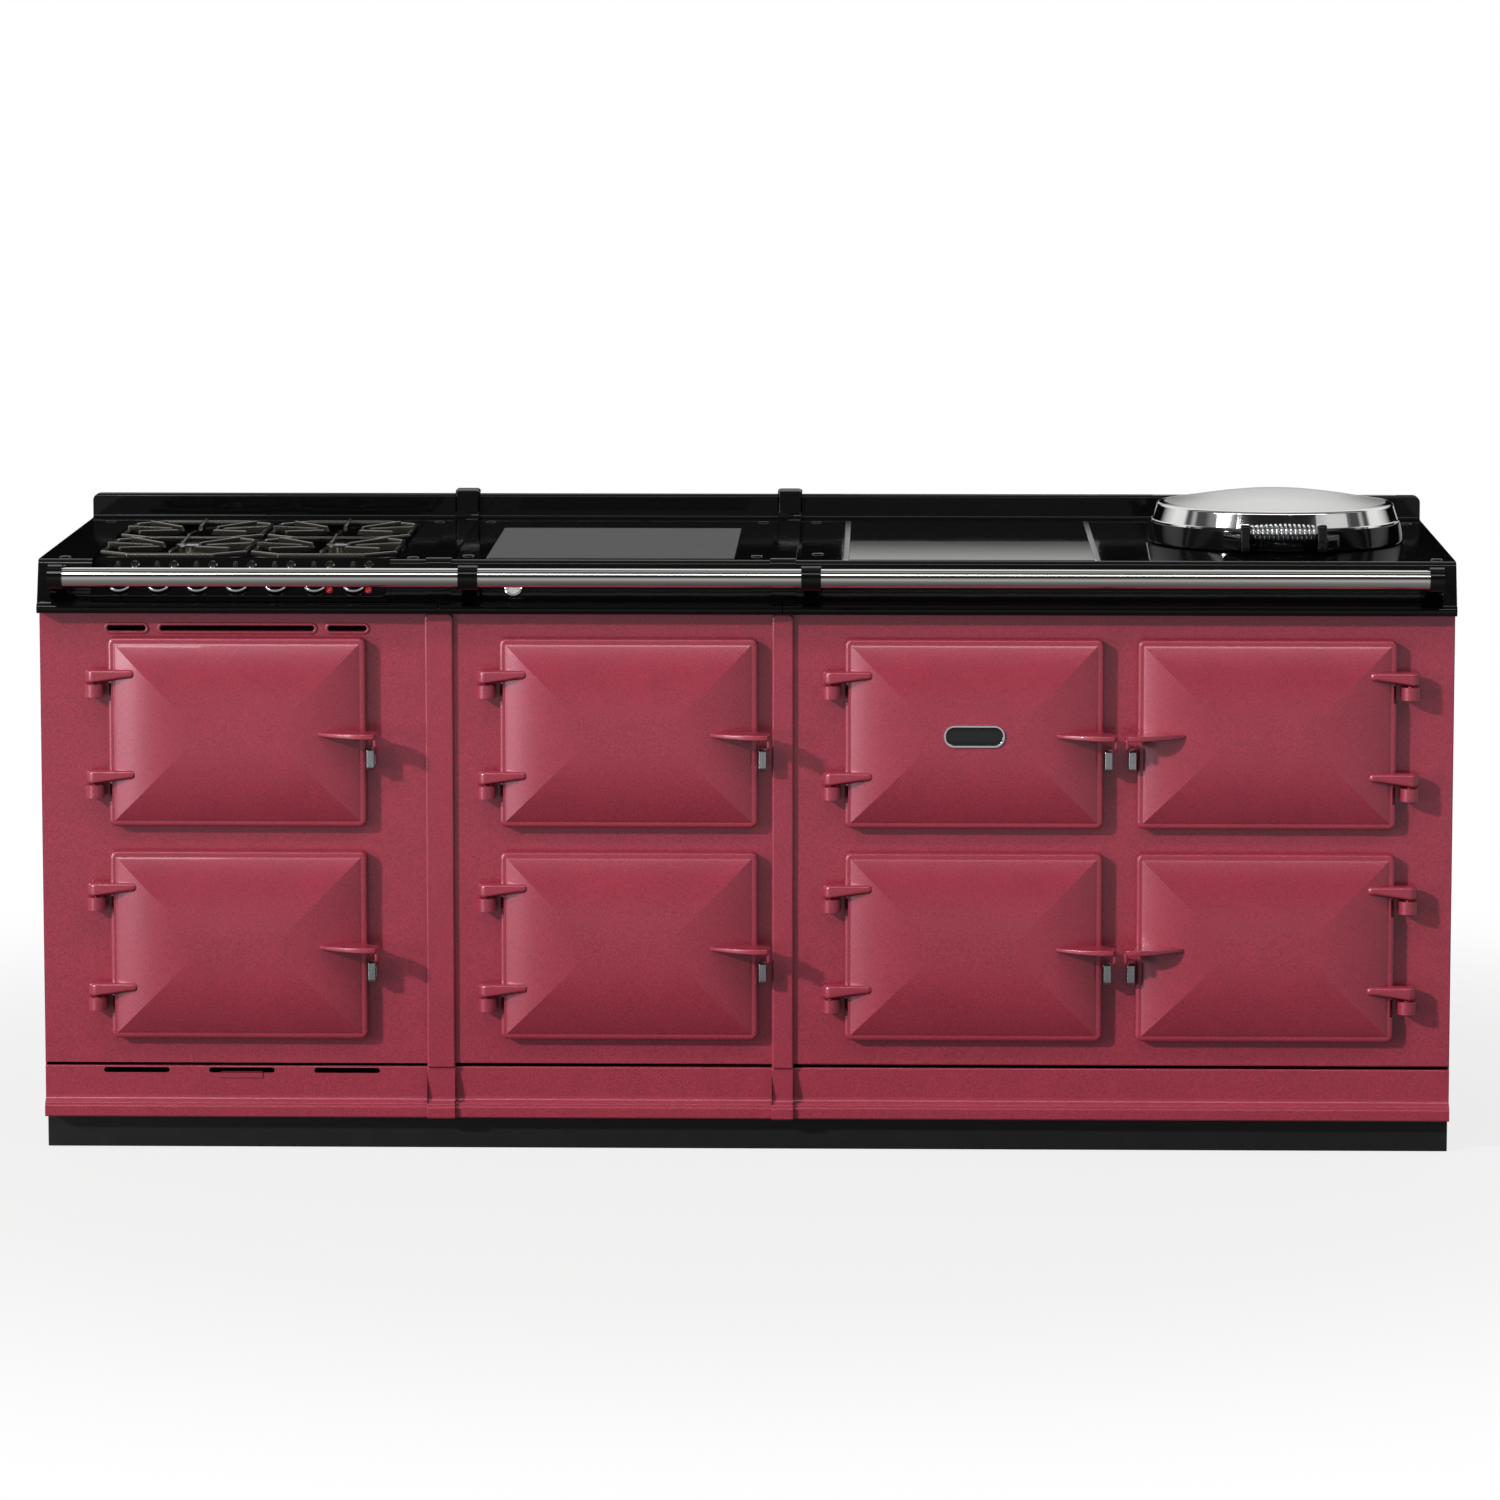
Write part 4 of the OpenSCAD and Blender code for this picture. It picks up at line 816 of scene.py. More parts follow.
# %% [markdown]
# ## Doors
# All eight doors come from one pattern: a flat rim with a rounded edge, and inside it a pillow that
# climbs steeply at first and flattens all the way to its middle. Insetting the front face ring by
# ring follows that section exactly and mitres the corners, which gives the four hips. A narrow bevel
# rounds the hips, and because the pillow flattens, they fade towards the middle as the real ones do.
# The door is modelled round its own hinge axis, and the copies are put in their places afterwards.

# %% Door casting
def pillow_rise(inward):
    """Height of the pillow above the rim at a distance in from the door's edge, in mm."""
    return 1.9 + 20.6 * (1 - (1 - (inward - 12) / 125) ** 2.7)


door = rounded_block("door", (20, -16, -140.5), (401, -2.5, 140.5), 10, segments=5)
with editing(door):
    pick("FACE", lambda middle, face: face.normal.y < -0.9)
    for wide, high in ((0.5, 1.6), (1.3, 1.3), (2.2, 0.9), (2.2, 0.2), (2.3, 0)):
        bpy.ops.mesh.inset(thickness=wide * MM, depth=high * MM)
    pick("VERT", lambda middle, vert: middle.y < -19.9 and abs(middle.x - DOOR_MIDDLE) < 182.05
         and abs(middle.z) < 132.05)
    bpy.ops.mesh.remove_doubles(threshold=5 * MM)
    for vert in bmesh.from_edit_mesh(door.data).verts:
        if vert.select:
            side = 1 if vert.co.x > DOOR_MIDDLE * MM else -1
            vert.co.x = (DOOR_MIDDLE + side * 182) * MM
            vert.co.z = math.copysign(132, vert.co.z) * MM
    pick("FACE", lambda middle, face: middle.y < -19.9 and abs(middle.z) < 5
         and abs(middle.x - DOOR_MIDDLE) < 5)
    reached, risen = 8.5, 0
    for inward, rise in [(9.4, 0.5), (10.8, 1.3)] + [
            (d, pillow_rise(d)) for d in (12, 16, 21, 27, 34, 42, 51, 61, 72, 84, 97, 111, 124, 135)]:
        bpy.ops.mesh.inset(thickness=(inward - reached) * MM, depth=(rise - risen) * MM)
        reached, risen = inward, rise
print("door stands", round(-min(v.co.y for v in door.data.vertices) / MM, 1), "mm out of the front plate")

# %% Hinge arms
ARMS = (84, -66)
for middle in ARMS:
    cut(door, rod("lug_room", (0, -HINGE_OUT, middle - 36.7), (0, -HINGE_OUT, middle - 10.5), 25, 48))


def is_hip(middle, edge):
    """Whether an edge runs up one of the pillow's four corners."""
    way = edge.verts[0].co - edge.verts[1].co
    return middle.y < -20.2 and min(abs(way.x), abs(way.z)) > 1 * MM and abs(abs(way.x) - abs(way.z)) < 0.3 * MM


with editing(door):
    pick("EDGE", lambda middle, edge: edge.is_manifold
         and (edge.calc_face_angle() > math.radians(9) or is_hip(middle, edge)))
    bpy.ops.mesh.bevel(offset=1.4 * MM, segments=2, affect="EDGES", clamp_overlap=True)

arms = []
for middle in ARMS:
    plan = (arc((0, -HINGE_OUT), 13, 90, 270, 12) + [(48, -35)] + arc((54, -27), 8, -90, 0, 4)
            + [(62, -10), (30, -8.5)])
    arm = sheet_of("arm", [(x, y, middle - 10.5) for x, y in plan], (0, 0, 21))
    with editing(arm):
        pick("VERT", lambda spot, vert: spot.x > 45 and spot.z < middle)
        bpy.ops.transform.translate(value=(0, 0, 8 * MM))
    arms.append(bevelled(arm, 5.4, 5))

# %% Blade handle
blade = sheet_of("blade", [(x, y, -4) for x, y in (
    (330, -34.5), (333, -41.5), (344, -49), (356, -56), (371, -64), (386, -69), (398, -71.5),
    (408, -72), (416, -70), (420, -65), (420, -42), (414, -36), (405, -31), (398, -12.5),
    (381, -12.5))], (0, 0, 8))
with editing(blade):
    pick("VERT", lambda middle, vert: middle.x < 350)
    bpy.ops.transform.resize(value=(1, 1, 0.7))
    pick("VERT", lambda middle, vert: 350 < middle.x < 375 and middle.y < -50)
    bpy.ops.transform.resize(value=(1, 1, 0.85))
bevelled(blade, 1.6, 3, 40)
lip = rounded_block("lip", (415.5, -67, -19), (420, -41, 1), 6, axis=0)
bevelled(lip, 1.5, 2)
door = together("door", door, *arms, blade, lip)

# %% Eight doors
def at_door(name):
    x, z, run = DOORS[name]
    return shift(x, FRONT, z) @ Matrix.Diagonal((run, 1, 1, 1))


for name in DOORS:
    hung = smooth(copied(door, f"oven_door_{name}", at_door(name)))
    settle(hung, raspberry, f"door_{name}", "raspberry_enamel", f"door_{name}")
bpy.data.objects.remove(door)

# %% [markdown]
# ## Door liners
# A pressed steel pan on each door's back holds the insulation and reaches a little into the oven.
# A rope seal runs round it, and the door is held shut against that rope by the handle's blade.

# %% Liners with seal and screws
pan = rounded_block("pan", (43, -2.5, -117.5), (378, 22, 117.5), 26, segments=8)
with editing(pan):
    pick("FACE", lambda middle, face: face.normal.y > 0.9)
    bpy.ops.mesh.inset(thickness=12 * MM)
    bpy.ops.mesh.inset(thickness=3 * MM, depth=-3 * MM)
coat(soften(pan, 1.2, 2), zinc_sheet)
seal = rounded_block("seal", (28.5, -3, -132.5), (392.5, -0.3, 132.5), 14)
cut(seal, rounded_block("seal_middle", (34.5, -5, -126.5), (386.5, 2, 126.5), 9))
coat(soften(seal, 1.2, 2), rope)
screws = []
for x in (72, DOOR_MIDDLE, 349):
    for z in (-94, 94):
        screw = rod("screw", (x, 18.8, z), (x, 20.8, z), 4, 20, tip=2.6)
        screws.append(coat(soften(screw, 0.3, 1), brushed))
pan = together("pan", pan, seal, *screws)
for name in DOORS:
    hung = copied(pan, f"liner_pan_{name}", at_door(name))
    settle(smooth(hung), None, f"door_{name}", "steel", f"door_liner_{name}")
bpy.data.objects.remove(pan)

# %% [markdown]
# ## Hinge lugs and catches
# Each door hangs on two pins that stand in round lugs on the front plate. A lug is a cylinder that
# runs into a narrower block, so an upright crease shows on both its sides. The catches are bent
# strips of steel beside the doors, stiffened by a thin web, and a door's blade closes over its own.

# %% Lugs
lug = rod("lug", (0, -HINGE_OUT, 0), (0, -HINGE_OUT, 19), 14, 40)
cut(lug, block("lug_block", (-11.5, -24, 0), (11.5, 0, 19)), operation="UNION")
bevelled(lug, 2.6, 3)
pin = rod("pin", (0, -HINGE_OUT, 12), (0, -HINGE_OUT, 35.2), 5, 24)
bevelled(pin, 1, 2)
lug = together("lug", lug, coat(pin, brushed))
lug.data.materials.clear()
lugs = []
for name in DOORS:
    for middle in ARMS:
        foot = shift(0, 0, middle - 30.7)
        lugs.append(copied(lug, "lug", at_door(name) @ foot))
bpy.data.objects.remove(lug)
settle(smooth(together("lugs", *lugs)), raspberry, "cooker", "raspberry_enamel", "hinge_lugs")

# %% Catches
strip = swept("catch", [(0, -54), (-30, -54), (-34, -50), (-34, -24), (-30, -20), (-12, -20), (-12, -24),
                        (-28, -24), (-30, -26), (-30, -48), (-28, -50), (-3, -50), (-3, -34), (0, -34)],
              403, 414)
web = swept("web", [(-2, -51), (-31, -51), (-31, -23), (-13, -23), (-2, -36)], 407.5, 409.5)
catch = together("catch", soften(strip, 1.2, 3), soften(web, 0.4, 1))
catches = [copied(catch, "catch", at_door(name)) for name in DOORS]
bpy.data.objects.remove(catch)
settle(smooth(together("catches", *catches), 40), brushed, "cooker", "polished_steel", "door_catches")

# %% [markdown]
# ## Hob castings
# Each module's top is one black enamelled casting. Seen from its end it is a single line: a half
# round lip, a sloping fascia, a rounded edge, the flat hob and an upstand at the back. Drawing that
# line and pulling it along the cooker gives the whole casting, and boxes then cut its openings.

# %% Section of a hob casting
OUTSIDE = ([(-294, 807), (-322.5, 807)] + arc((-322.5, 814.5), 7.5, 270, 90, 12)[1:]
           + [(-321.8, 823.2), (-321, 826)] + arc((-292.2, 876), 9, 159, 90, 8)
           + arc((362, 891), 6, -90, 0, 6) + arc((373, 918), 5, 180, 90, 5)
           + [(386, 923), (390, 919)])
SECTION = OUTSIDE + [(390, 807), (384, 807), (384, 879), (-292, 879), (-312, 826), (-312, 813), (-294, 813)]
END = OUTSIDE[:-13] + [(387, 885), (387, 807)]


def casting(name, low, high):
    return swept(name, SECTION, low, high)


def rebate(low, high):
    """Cuts the seat of an inset plate, and the opening inside its ledge."""
    seat = block("seat", (low[0] - 0.3, low[1] - 0.3, 881), (high[0] + 0.3, high[1] + 0.3, 890))
    hole = block("hole", (low[0] + 10, low[1] + 10, 870), (high[0] - 10, high[1] - 10, 890))
    return seat, hole


def round_end(piece, end, inward):
    """Rounds the upper corner of the upstand at one end of the cooker."""
    middle, radius = end + inward * 11, 11
    corner = block("corner", (min(end - inward, middle), 360, UPSTAND - radius),
                   (max(end - inward, middle), 396, UPSTAND + 2))
    level = UPSTAND - radius
    cut(corner, rod("corner_round", (middle, 350, level), (middle, 400, level), radius, 64))
    cut(piece, corner)


# %% Sloping places on the fascia
def sloping(y, z, tilt, x, up):
    """Matrix of a place up a slope that starts at y and z: its z axis points out of the slope."""
    return (shift(x, y, z)
            @ Matrix.Rotation(math.radians(90 - tilt), 4, "X") @ shift(0, up, 0))


def on_panel(x, up):
    return sloping(-270, HOB, 42, x, up)


def on_fascia(x, up):
    return sloping(-321, 826, 21, x, up)


# %% Left casting, with the burner well and the control panel's recess
left_top = casting("hob_casting_left", X0, X1 - 0.5)
end_wall = swept("end_wall", END, X0, X0 + 6)
well_box = block("well_box", (-975, -266, 838), (-510, 284, 884.5))
cut(left_top, end_wall, well_box, operation="UNION")
well = rounded_block("well", (-970, -261, 843), (-515, 279, 900), 16, axis=2)
recess = block("recess", (-220.3, -0.3, -4), (220.3, 80.3, 66))
recess.data.transform(on_panel(-745, -80))
cut(left_top, well, recess)
round_end(left_top, X0, 1)
soften(left_top, 1.6, 3)
settle(left_top, black, "cooker", "black_enamel", "top_plate_left")

# %% Middle and right castings
middle_top = casting("hob_casting_middle", X1 + 0.5, X2 - 0.5)
cut(middle_top, *rebate((-384.5, -277), (-17.5, 197)))
soften(middle_top, 1.2, 2)
settle(middle_top, black, "cooker", "black_enamel", "top_plate_middle")

right_top = casting("hob_casting_right", X2 + 0.5, X3)
cut(right_top, swept("end_wall", END, X3 - 6, X3), operation="UNION")
cut(right_top, *rebate((143, -288), (523, 322)),
    rod("boiling_hole", (LID_X, LID_Y, 860), (LID_X, LID_Y, 900), 168.3, 96))
round_end(right_top, X3, -1)
soften(right_top, 1.2, 2)
settle(right_top, black, "cooker", "black_enamel", "top_plate_right")

# %% Joint strips and plugs
strips = from_drawing("joint_covers", "joint_strips", 0)
with editing(strips):
    pick("EDGE", lambda middle, edge: middle.z > 892 and middle.y < 386
         and min(abs(abs(middle.x - x) - 19) for x in (X1, X2)) < 0.1)
    bpy.ops.mesh.bevel(offset=5 * MM, segments=4, affect="EDGES")
soften(strips, 1.4, 3, angle=30)
for vert in strips.data.vertices:
    vert.co.y = min(vert.co.y, BACK * MM)
settle(strips, black, "cooker", "black_enamel", "joint_strips")

plug = spun("plug", [(0, 2), (5.2, 1.9), (7.6, 1.5), (8.6, 0.8), (9, 0.1), (0, 0.1)], (0, 0, 0), 32)
plugs = [copied(plug, "plug", shift(x, y, HOB)) for x, y in (
    (-1009, -266), (-1009, 308), (-493, -266), (-493, 308), (-413, -236), (-413, 308),
    (15, -236), (15, 308), (97, 308), (105, -200), (1019, -266), (1019, 308))]
bpy.data.objects.remove(plug)
settle(smooth(together("plugs", *plugs), 50), black, "cooker", "black_enamel", "top_plate_plugs")

# %% [markdown]
# ## Control panel
# Seven knobs stand on a sloping black panel: four for the gas burners and three for the ovens, with a
# red lamp beside the last two. Each knob is a turned body with a bright bezel and a grip across it.
# Round bare discs stand where such panels carry their markings.

# %% Panel with discs
panel = from_drawing("sloping_panel", "control_panel", 1.0, 2)
coat(panel, black)
KNOBS = [-924.9 + 57.8 * i for i in range(7)]
disc = spun("disc", [(0, 1.5), (4.6, 1.5), (5.4, 2.0), (6.4, 2.0), (7, 1.2), (7, 0), (0, 0)], (0, 0, 0), 40)
coat(disc, knob_black)
paint(disc, chrome, lambda middle, face: math.hypot(middle.x, middle.y) > 6.2 and middle.z > 0.6)
discs = [copied(disc, "disc", on_panel(x + 20.3, -13)) for x in KNOBS]
bpy.data.objects.remove(disc)
frame_bar = rounded_block("frame_bar", (-236, 2, -0.5), (236, 46, 1.4), 9, axis=2)
cut(frame_bar, rounded_block("frame_middle", (-230, 7.5, -3), (230, 60, 4), 6, axis=2))
frame_bar.data.transform(on_fascia(-759, 0))
soften(frame_bar, 0.6, 2)
panel = smooth(together("sloping_panel", panel, coat(frame_bar, black), *discs))
settle(panel, None, "cooker", "black_enamel", "control_panel")

# %% Lamps
lens = spun("lens", [(0, 3.6), (2.6, 3.3), (4.6, 2.2), (5.4, 0.6), (5.4, 0.1), (4, 0.1), (4, -4), (0, -4)],
            (0, 0, 0), 32)
ring = spun("ring", [(5.3, 1.0), (5.8, 1.2), (6.2, 0.7), (6.2, 0.0), (5.3, 0.0)], (0, 0, 0), 32)
screw = spun("screw", [(0, 0.9), (1.2, 0.7), (1.8, 0.0), (0, 0)], (3, -11.5, 0), 16)
lamp = together("lamp", coat(lens, red_lens), coat(ring, knob_black), coat(screw, chrome))
lamps = [copied(lamp, "lamp", on_panel(KNOBS[i] + 22, -60)) for i in (5, 6)]
bpy.data.objects.remove(lamp)
settle(smooth(together("lamps", *lamps)), None, "cooker", "red_lens", "indicator_lamps")

# %% Knobs
skirt = spun("bezel", [(18.9, 1), (19.5, 1.6), (19.5, 3.2), (18.8, 4.6), (17.6, 6.6), (16.5, 7.2),
                       (0, 7.2), (0, 1)], (0, 0, 0), 64)
body = spun("knob_body", [(0, 15.5), (13.8, 15.5), (15.2, 14.6), (16, 12), (17.4, 6.8), (0, 6.8)],
            (0, 0, 0), 64)
grip = rounded_block("grip", (-4, -16.5, 7), (4, 18.5, 32), 3.6, axis=2)
with editing(grip):
    pick("VERT", lambda middle, vert: middle.z > 30)
    bpy.ops.transform.resize(value=(0.8, 0.93, 1))
mark = block("pointer", (-1.3, 8.5, 31.4), (1.3, 16.8, 32.0))
stem = rod("spindle", (0, 0, -18), (0, 0, 6), 4, 24)
coat(soften(skirt, 0.3, 1), knob_black)
paint(skirt, chrome, lambda middle, face: 16.4 < math.hypot(middle.x, middle.y) and 4.7 < middle.z)
knob = together("knob", skirt, coat(soften(body, 0.5, 1), knob_black),
                coat(soften(grip, 1.2, 3), knob_black), coat(mark, chrome), coat(stem, brushed))
for i, x in enumerate(KNOBS, 1):
    turned = smooth(copied(knob, f"turn_knob_{i}", on_panel(x, -47)))
    settle(turned, None, f"knob_{i}", "black_knob", f"knob_{i}")
bpy.data.objects.remove(knob)

# %% [markdown]
# ## Gas hob
# A burner is a turned body, a bright crown cut with ports for the flames, and a black enamelled cap.
# The ports are made by sinking every second face of a ring of faces. The pan supports over them are
# two iron castings, whose edges are rounded so that their tops catch the light.

# %% Burners
def burner(x, y, radius):
    foot = spun("burner_foot", [(0, 0), (radius + 10, 0), (radius + 10, 3), (radius + 8, 6), (radius + 1, 9),
                                (0, 9)], (x, y, 843), 64)
    crown = rod("crown", (x, y, 852), (x, y, 863), radius, 56)
    with editing(crown):
        pick("FACE", lambda middle, face: abs(face.normal.z) < 0.1 and
             round(math.degrees(math.atan2(middle.y - y, middle.x - x)) * 56 / 360 - 0.5) % 2 == 0)
        bpy.ops.mesh.inset(thickness=0.7 * MM, use_individual=True)
        bpy.ops.mesh.extrude_faces_move(TRANSFORM_OT_shrink_fatten={"value": -3 * MM})
    cap = spun("cap", [(0, 5), (radius * 0.72, 4.8), (radius * 0.92, 4), (radius + 1, 2.4), (radius + 1, 0.4),
                       (radius - 1, 0), (0, 0)], (x, y, 863), 64)
    side = radius + 6.5
    spark = rod("spark", (x + side * 0.7, y + side * 0.7, 851), (x + side * 0.7, y + side * 0.7, 862), 2.4, 16)
    return [coat(foot, burner_metal), coat(crown, burner_metal), coat(smooth(cap, 50), grate_enamel),
            coat(spark, dial_face)]


BURNERS = [(-854.75, -121.25, 38), (-630.25, -121.25, 30), (-854.75, 139.25, 34), (-630.25, 139.25, 26)]
burners = []
for x, y, radius in BURNERS:
    burners += burner(x, y, radius)
settle(smooth(together("burners", *burners)), None, "cooker", "cast_iron", "gas_burners")

# %% Pan supports
def grate_outline(x, y, inset):
    """Rectangle with its corners cut off, round a burner's middle."""
    half_x, half_y, corner = 109.25 - inset, 133.75 - inset, 44 - 0.586 * inset
    return [(x + sx * cx, y + sy * cy, 882.5) for sx, sy, pair in (
        (1, 1, 0), (1, 1, 1), (-1, 1, 1), (-1, 1, 0), (-1, -1, 0), (-1, -1, 1), (1, -1, 1), (1, -1, 0))
        for cx, cy in [((half_x, half_y - corner), (half_x - corner, half_y))[pair]]]


rings, fingers, legs = [], [], []
for x, y, radius in BURNERS:
    ring = sheet_of("ring", grate_outline(x, y, 0), (0, 0, 7))
    hollow = sheet_of("hollow", grate_outline(x, y, 7), (0, 0, 12))
    hollow.data.transform(shift(0, 0, -2))
    rings.append(soften(cut(ring, hollow), 2.6, 3))
    for turn in range(0, 360, 45):
        reach = 116 if turn % 90 else (133 if turn % 180 else 108.5)
        finger = block("finger", (36, -2.8, 882.5), (reach, 2.8, 894))
        with editing(finger):
            pick("VERT", lambda middle, vert: middle.x < 40 and middle.z > 890)
            bpy.ops.transform.translate(value=(4 * MM, 0, -3.5 * MM))
            pick("EDGE", lambda middle, edge: middle.z > 888)
            bpy.ops.mesh.bevel(offset=2 * MM, segments=3, affect="EDGES")
        finger.data.transform(shift(x, y, 0) @ Matrix.Rotation(math.radians(turn), 4, "Z"))
        fingers.append(smooth(finger, 50))
for x in (-854.75, -630.25):
    for side in (-1, 1):
        for end in (-1, 1):
            at_x, at_y = x + side * 84.25, 9 + end * 239
            leg = block("leg", (at_x - 3.5, at_y - 3.5, 843), (at_x + 3.5, at_y + 3.5, 888))
            legs.append(soften(leg, 1, 2))
grates = together("pan_grates", *rings, *fingers, *legs)
settle(grates, grate_enamel, "cooker", "cast_iron", "pan_supports")

# %% [markdown]
# ## Plates on the hob
# The warming plate is ground aluminium, let into the middle casting. The glass hob has a polished
# strip along each side, and the round boiling plate under the lid is turned iron.

# %% Warming plate
warm = rounded_block("warming_plate_top", (-384.5, -277, 881), (-17.5, 197, 886), 5, axis=2)
settle(soften(warm, 1.0, 3), satin, "cooker", "satin_grey", "warming_plate")

# %% Glass hob
pane = coat(soften(rounded_block("pane", (151.5, -288, 881), (514.5, 322, 885.7), 2, axis=2), 0.6, 2), glass)
trims = []
for low, high in ((143, 152), (514, 523)):
    trim = rounded_block("trim", (low, -288, 881), (high, 322, 886), 2, axis=2)
    trims.append(coat(soften(trim, 1.2, 3), brushed))
settle(together("glass_pane", pane, *trims), None, "cooker", "black_glass", "glass_hob")

# %% Boiling plate
boiling = spun("boiling_plate_top", [(0, 32), (166, 32), (168, 30.5), (168, 31), (171.5, 31), (173, 30.2),
                                     (173, 29), (168, 29), (168, 0), (0, 0)], (LID_X, LID_Y, 856), 128)
settle(smooth(boiling), cast_iron, "cooker", "cast_iron", "boiling_plate")

# %% [markdown]
# ## Handrail
# The rail is a polished tube in three lengths. Black brackets hold it: a boss at each outer end, and
# a collar over each joint, all with an arm that spreads where it meets the fascia.

# %% Rails
rails = [soften(rod("rail", (low, RAIL_Y, RAIL_Z), (high, RAIL_Y, RAIL_Z), RAIL_R, 72), 1.5, 3, angle=60)
         for low, high in ((-1006, -405.5), (-404.5, 97), (98, 1006))]
settle(together("rails", *rails), polished, "cooker", "polished_steel", "handrails")

# %% Brackets
def bracket(collar, arm):
    """A collar round the rail between two x, and its arm between two more."""
    ring = rod("collar", (collar[0], RAIL_Y, RAIL_Z), (collar[1], RAIL_Y, RAIL_Z), 18, 48)
    web = swept("web", [(-372, 850), (-372, 882), (-340, 880), (-302.4, 874.5), (-319.9, 828.8),
                        (-328.9, 828.8), (-345, 842)], *arm)
    with editing(web):
        pick("VERT", lambda middle, vert: middle.y > -335)
        bpy.ops.transform.resize(value=(1.35, 1, 1))
    cut(ring, web, operation="UNION")
    return ring


brackets = [bracket((-1021, -1000), (-1021, -997)), bracket((1000, 1021), (997, 1021)),
            bracket((-419.5, -390.5), (-415, -395)), bracket((83, 112), (87.5, 107.5))]
bores = [rod("bore", (low, RAIL_Y, RAIL_Z), (high, RAIL_Y, RAIL_Z), 14.05, 72)
         for low, high in ((-1006, -985), (985, 1006), (-440, -370), (60, 140))]
for piece, bore in zip(brackets, bores):
    cut(piece, bore)
    soften(piece, 2.4, 3, angle=30)
settle(together("rail_holders", *brackets), black, "cooker", "black_enamel", "rail_brackets")

# %% [markdown]
# ## Gauge and bare plate
# A small round gauge sits on the middle fascia, with a pale dial and one dark hand. The plate on one
# upper door is left bare.

# %% Gauge
bezel = spun("gauge_bezel", [(11.2, 3.4), (11.6, 4.6), (12.8, 5), (14, 4.4), (14.5, 3), (14.5, 0), (0, 0),
                             (0, 2.8), (11.2, 2.8)], (0, 0, 0), 56)
dial = rod("dial", (0, 0, 2.4), (0, 0, 3.2), 11.3, 48)
hand = block("hand", (-0.5, -3, 3.2), (0.5, 9, 3.7))
ticks = [copied(hand, "tick", Matrix.Rotation(math.radians(t), 4, "Z") @ shift(0, 7.6, 0)
                @ Matrix.Diagonal((0.7, 0.22, 0.5, 1)) @ shift(0, 0, 3))
         for t in range(-120, 121, 40)]
hand.data.transform(Matrix.Rotation(math.radians(55), 4, "Z"))
for part in ticks + [hand]:
    coat(part, knob_black)
gauge = together("gauge", coat(bezel, chrome), coat(dial, dial_face), hand, *ticks)
gauge.data.transform(on_fascia(-342, 22))
settle(smooth(gauge), None, "cooker", "polished_steel", "temperature_gauge")

# %% Bare plate
rim = rounded_block("bare_plate", (293, -345.5, 614), (382, -342.5, 646), 15, segments=10)
with editing(rim):
    pick("FACE", lambda middle, face: face.normal.y < -0.9)
    bpy.ops.mesh.inset(thickness=2.2 * MM)
    bpy.ops.mesh.inset(thickness=0.8 * MM, depth=-1.2 * MM)
    bpy.ops.mesh.inset(thickness=3.5 * MM, depth=0.5 * MM)
    bpy.ops.mesh.inset(thickness=5 * MM, depth=0.3 * MM)
coat(rim, chrome)
paint(rim, knob_black, lambda middle, face: face.normal.y < -0.7 and
      max(abs(middle.x - 337.5) - 28.6, 0) ** 2 + (middle.z - 630) ** 2 < 13.4 ** 2)
settle(smooth(rim, 40), None, "door_right_upper_inner", "badge_black", "name_plate")

# %% [markdown]
# ## Domed lid
# The insulating lid is a spun, polished dome over a black ring, hinged at the back, with a coil of
# wire as its handle so that the grip stays cool. The dome and the ring are lines spun round the
# lid's middle. The coil is one small circle sent round and along by a Screw modifier.

# %% Dome
crest = [(168, 29.2), (145, 32.6), (118, 37.2), (90, 41.4), (60, 45.1), (30, 47.3), (0, 48)]
wall = [(188, 0), (187.6, 2.4), (186.2, 3.6), (179.9, 22.8)] + arc((174.2, 22.4), 5.7, 15, 75, 5)
dome = spun("spun_dome", wall + crest + [(0, 46), (30, 45.3), (60, 43.1), (90, 39.4), (118, 35.2), (145, 30.6),
                                        (166, 26.5), (176, 20), (185, 0)], (LID_X, LID_Y, 916.4), 160)
paint(coat(smooth(dome, 30), mirror), crown_satin,
      lambda middle, face: math.hypot(middle.x - LID_X, middle.y - LID_Y) < 171 and face.normal.z > 0.9)
settle(dome, None, "lid", "polished_steel", "lid_dome")

# %% Ring, knuckle and handle bracket
ring = spun("lid_ring", [(189, 0), (193, 0), (195, 2), (194.6, 5), (189.6, 29.4), (188, 31), (185, 31),
                         (189, 11), (0, 11), (0, 8), (189, 8)], (LID_X, LID_Y, 885.4), 160)
fittings = [soften(rod("knuckle", (762, 238, 899), (832, 238, 899), 10, 40), 1.2, 2, angle=60),
            soften(block("tongue", (762, 208, 895), (832, 238, 905)), 1.5, 2)]
for side in (-1, 1):
    at = LID_X + side * 57
    post = rounded_block("post", (at - 7, -211, 889.4), (at + 7, -191, 930.4), 6, axis=0)
    web = sheet_of("web", [(LID_X + side * x, y, 889.4) for x, y in (
        (88, -146), (68, -183), (64, -195), (64, -211), (50, -211), (50, -189), (42, -146))], (0, 0, 22))
    fittings += [soften(post, 2.6, 3), soften(web, 3.2, 3, angle=30)]
core = soften(rod("core_rod", (735, -203, 918.4), (859, -203, 918.4), 5, 32), 1, 2)
for part in [ring] + fittings:
    coat(part, black)
holder = together("lid_ring", smooth(ring), *fittings, coat(core, brushed))
settle(holder, None, "lid", "black_enamel", "lid_skirt")

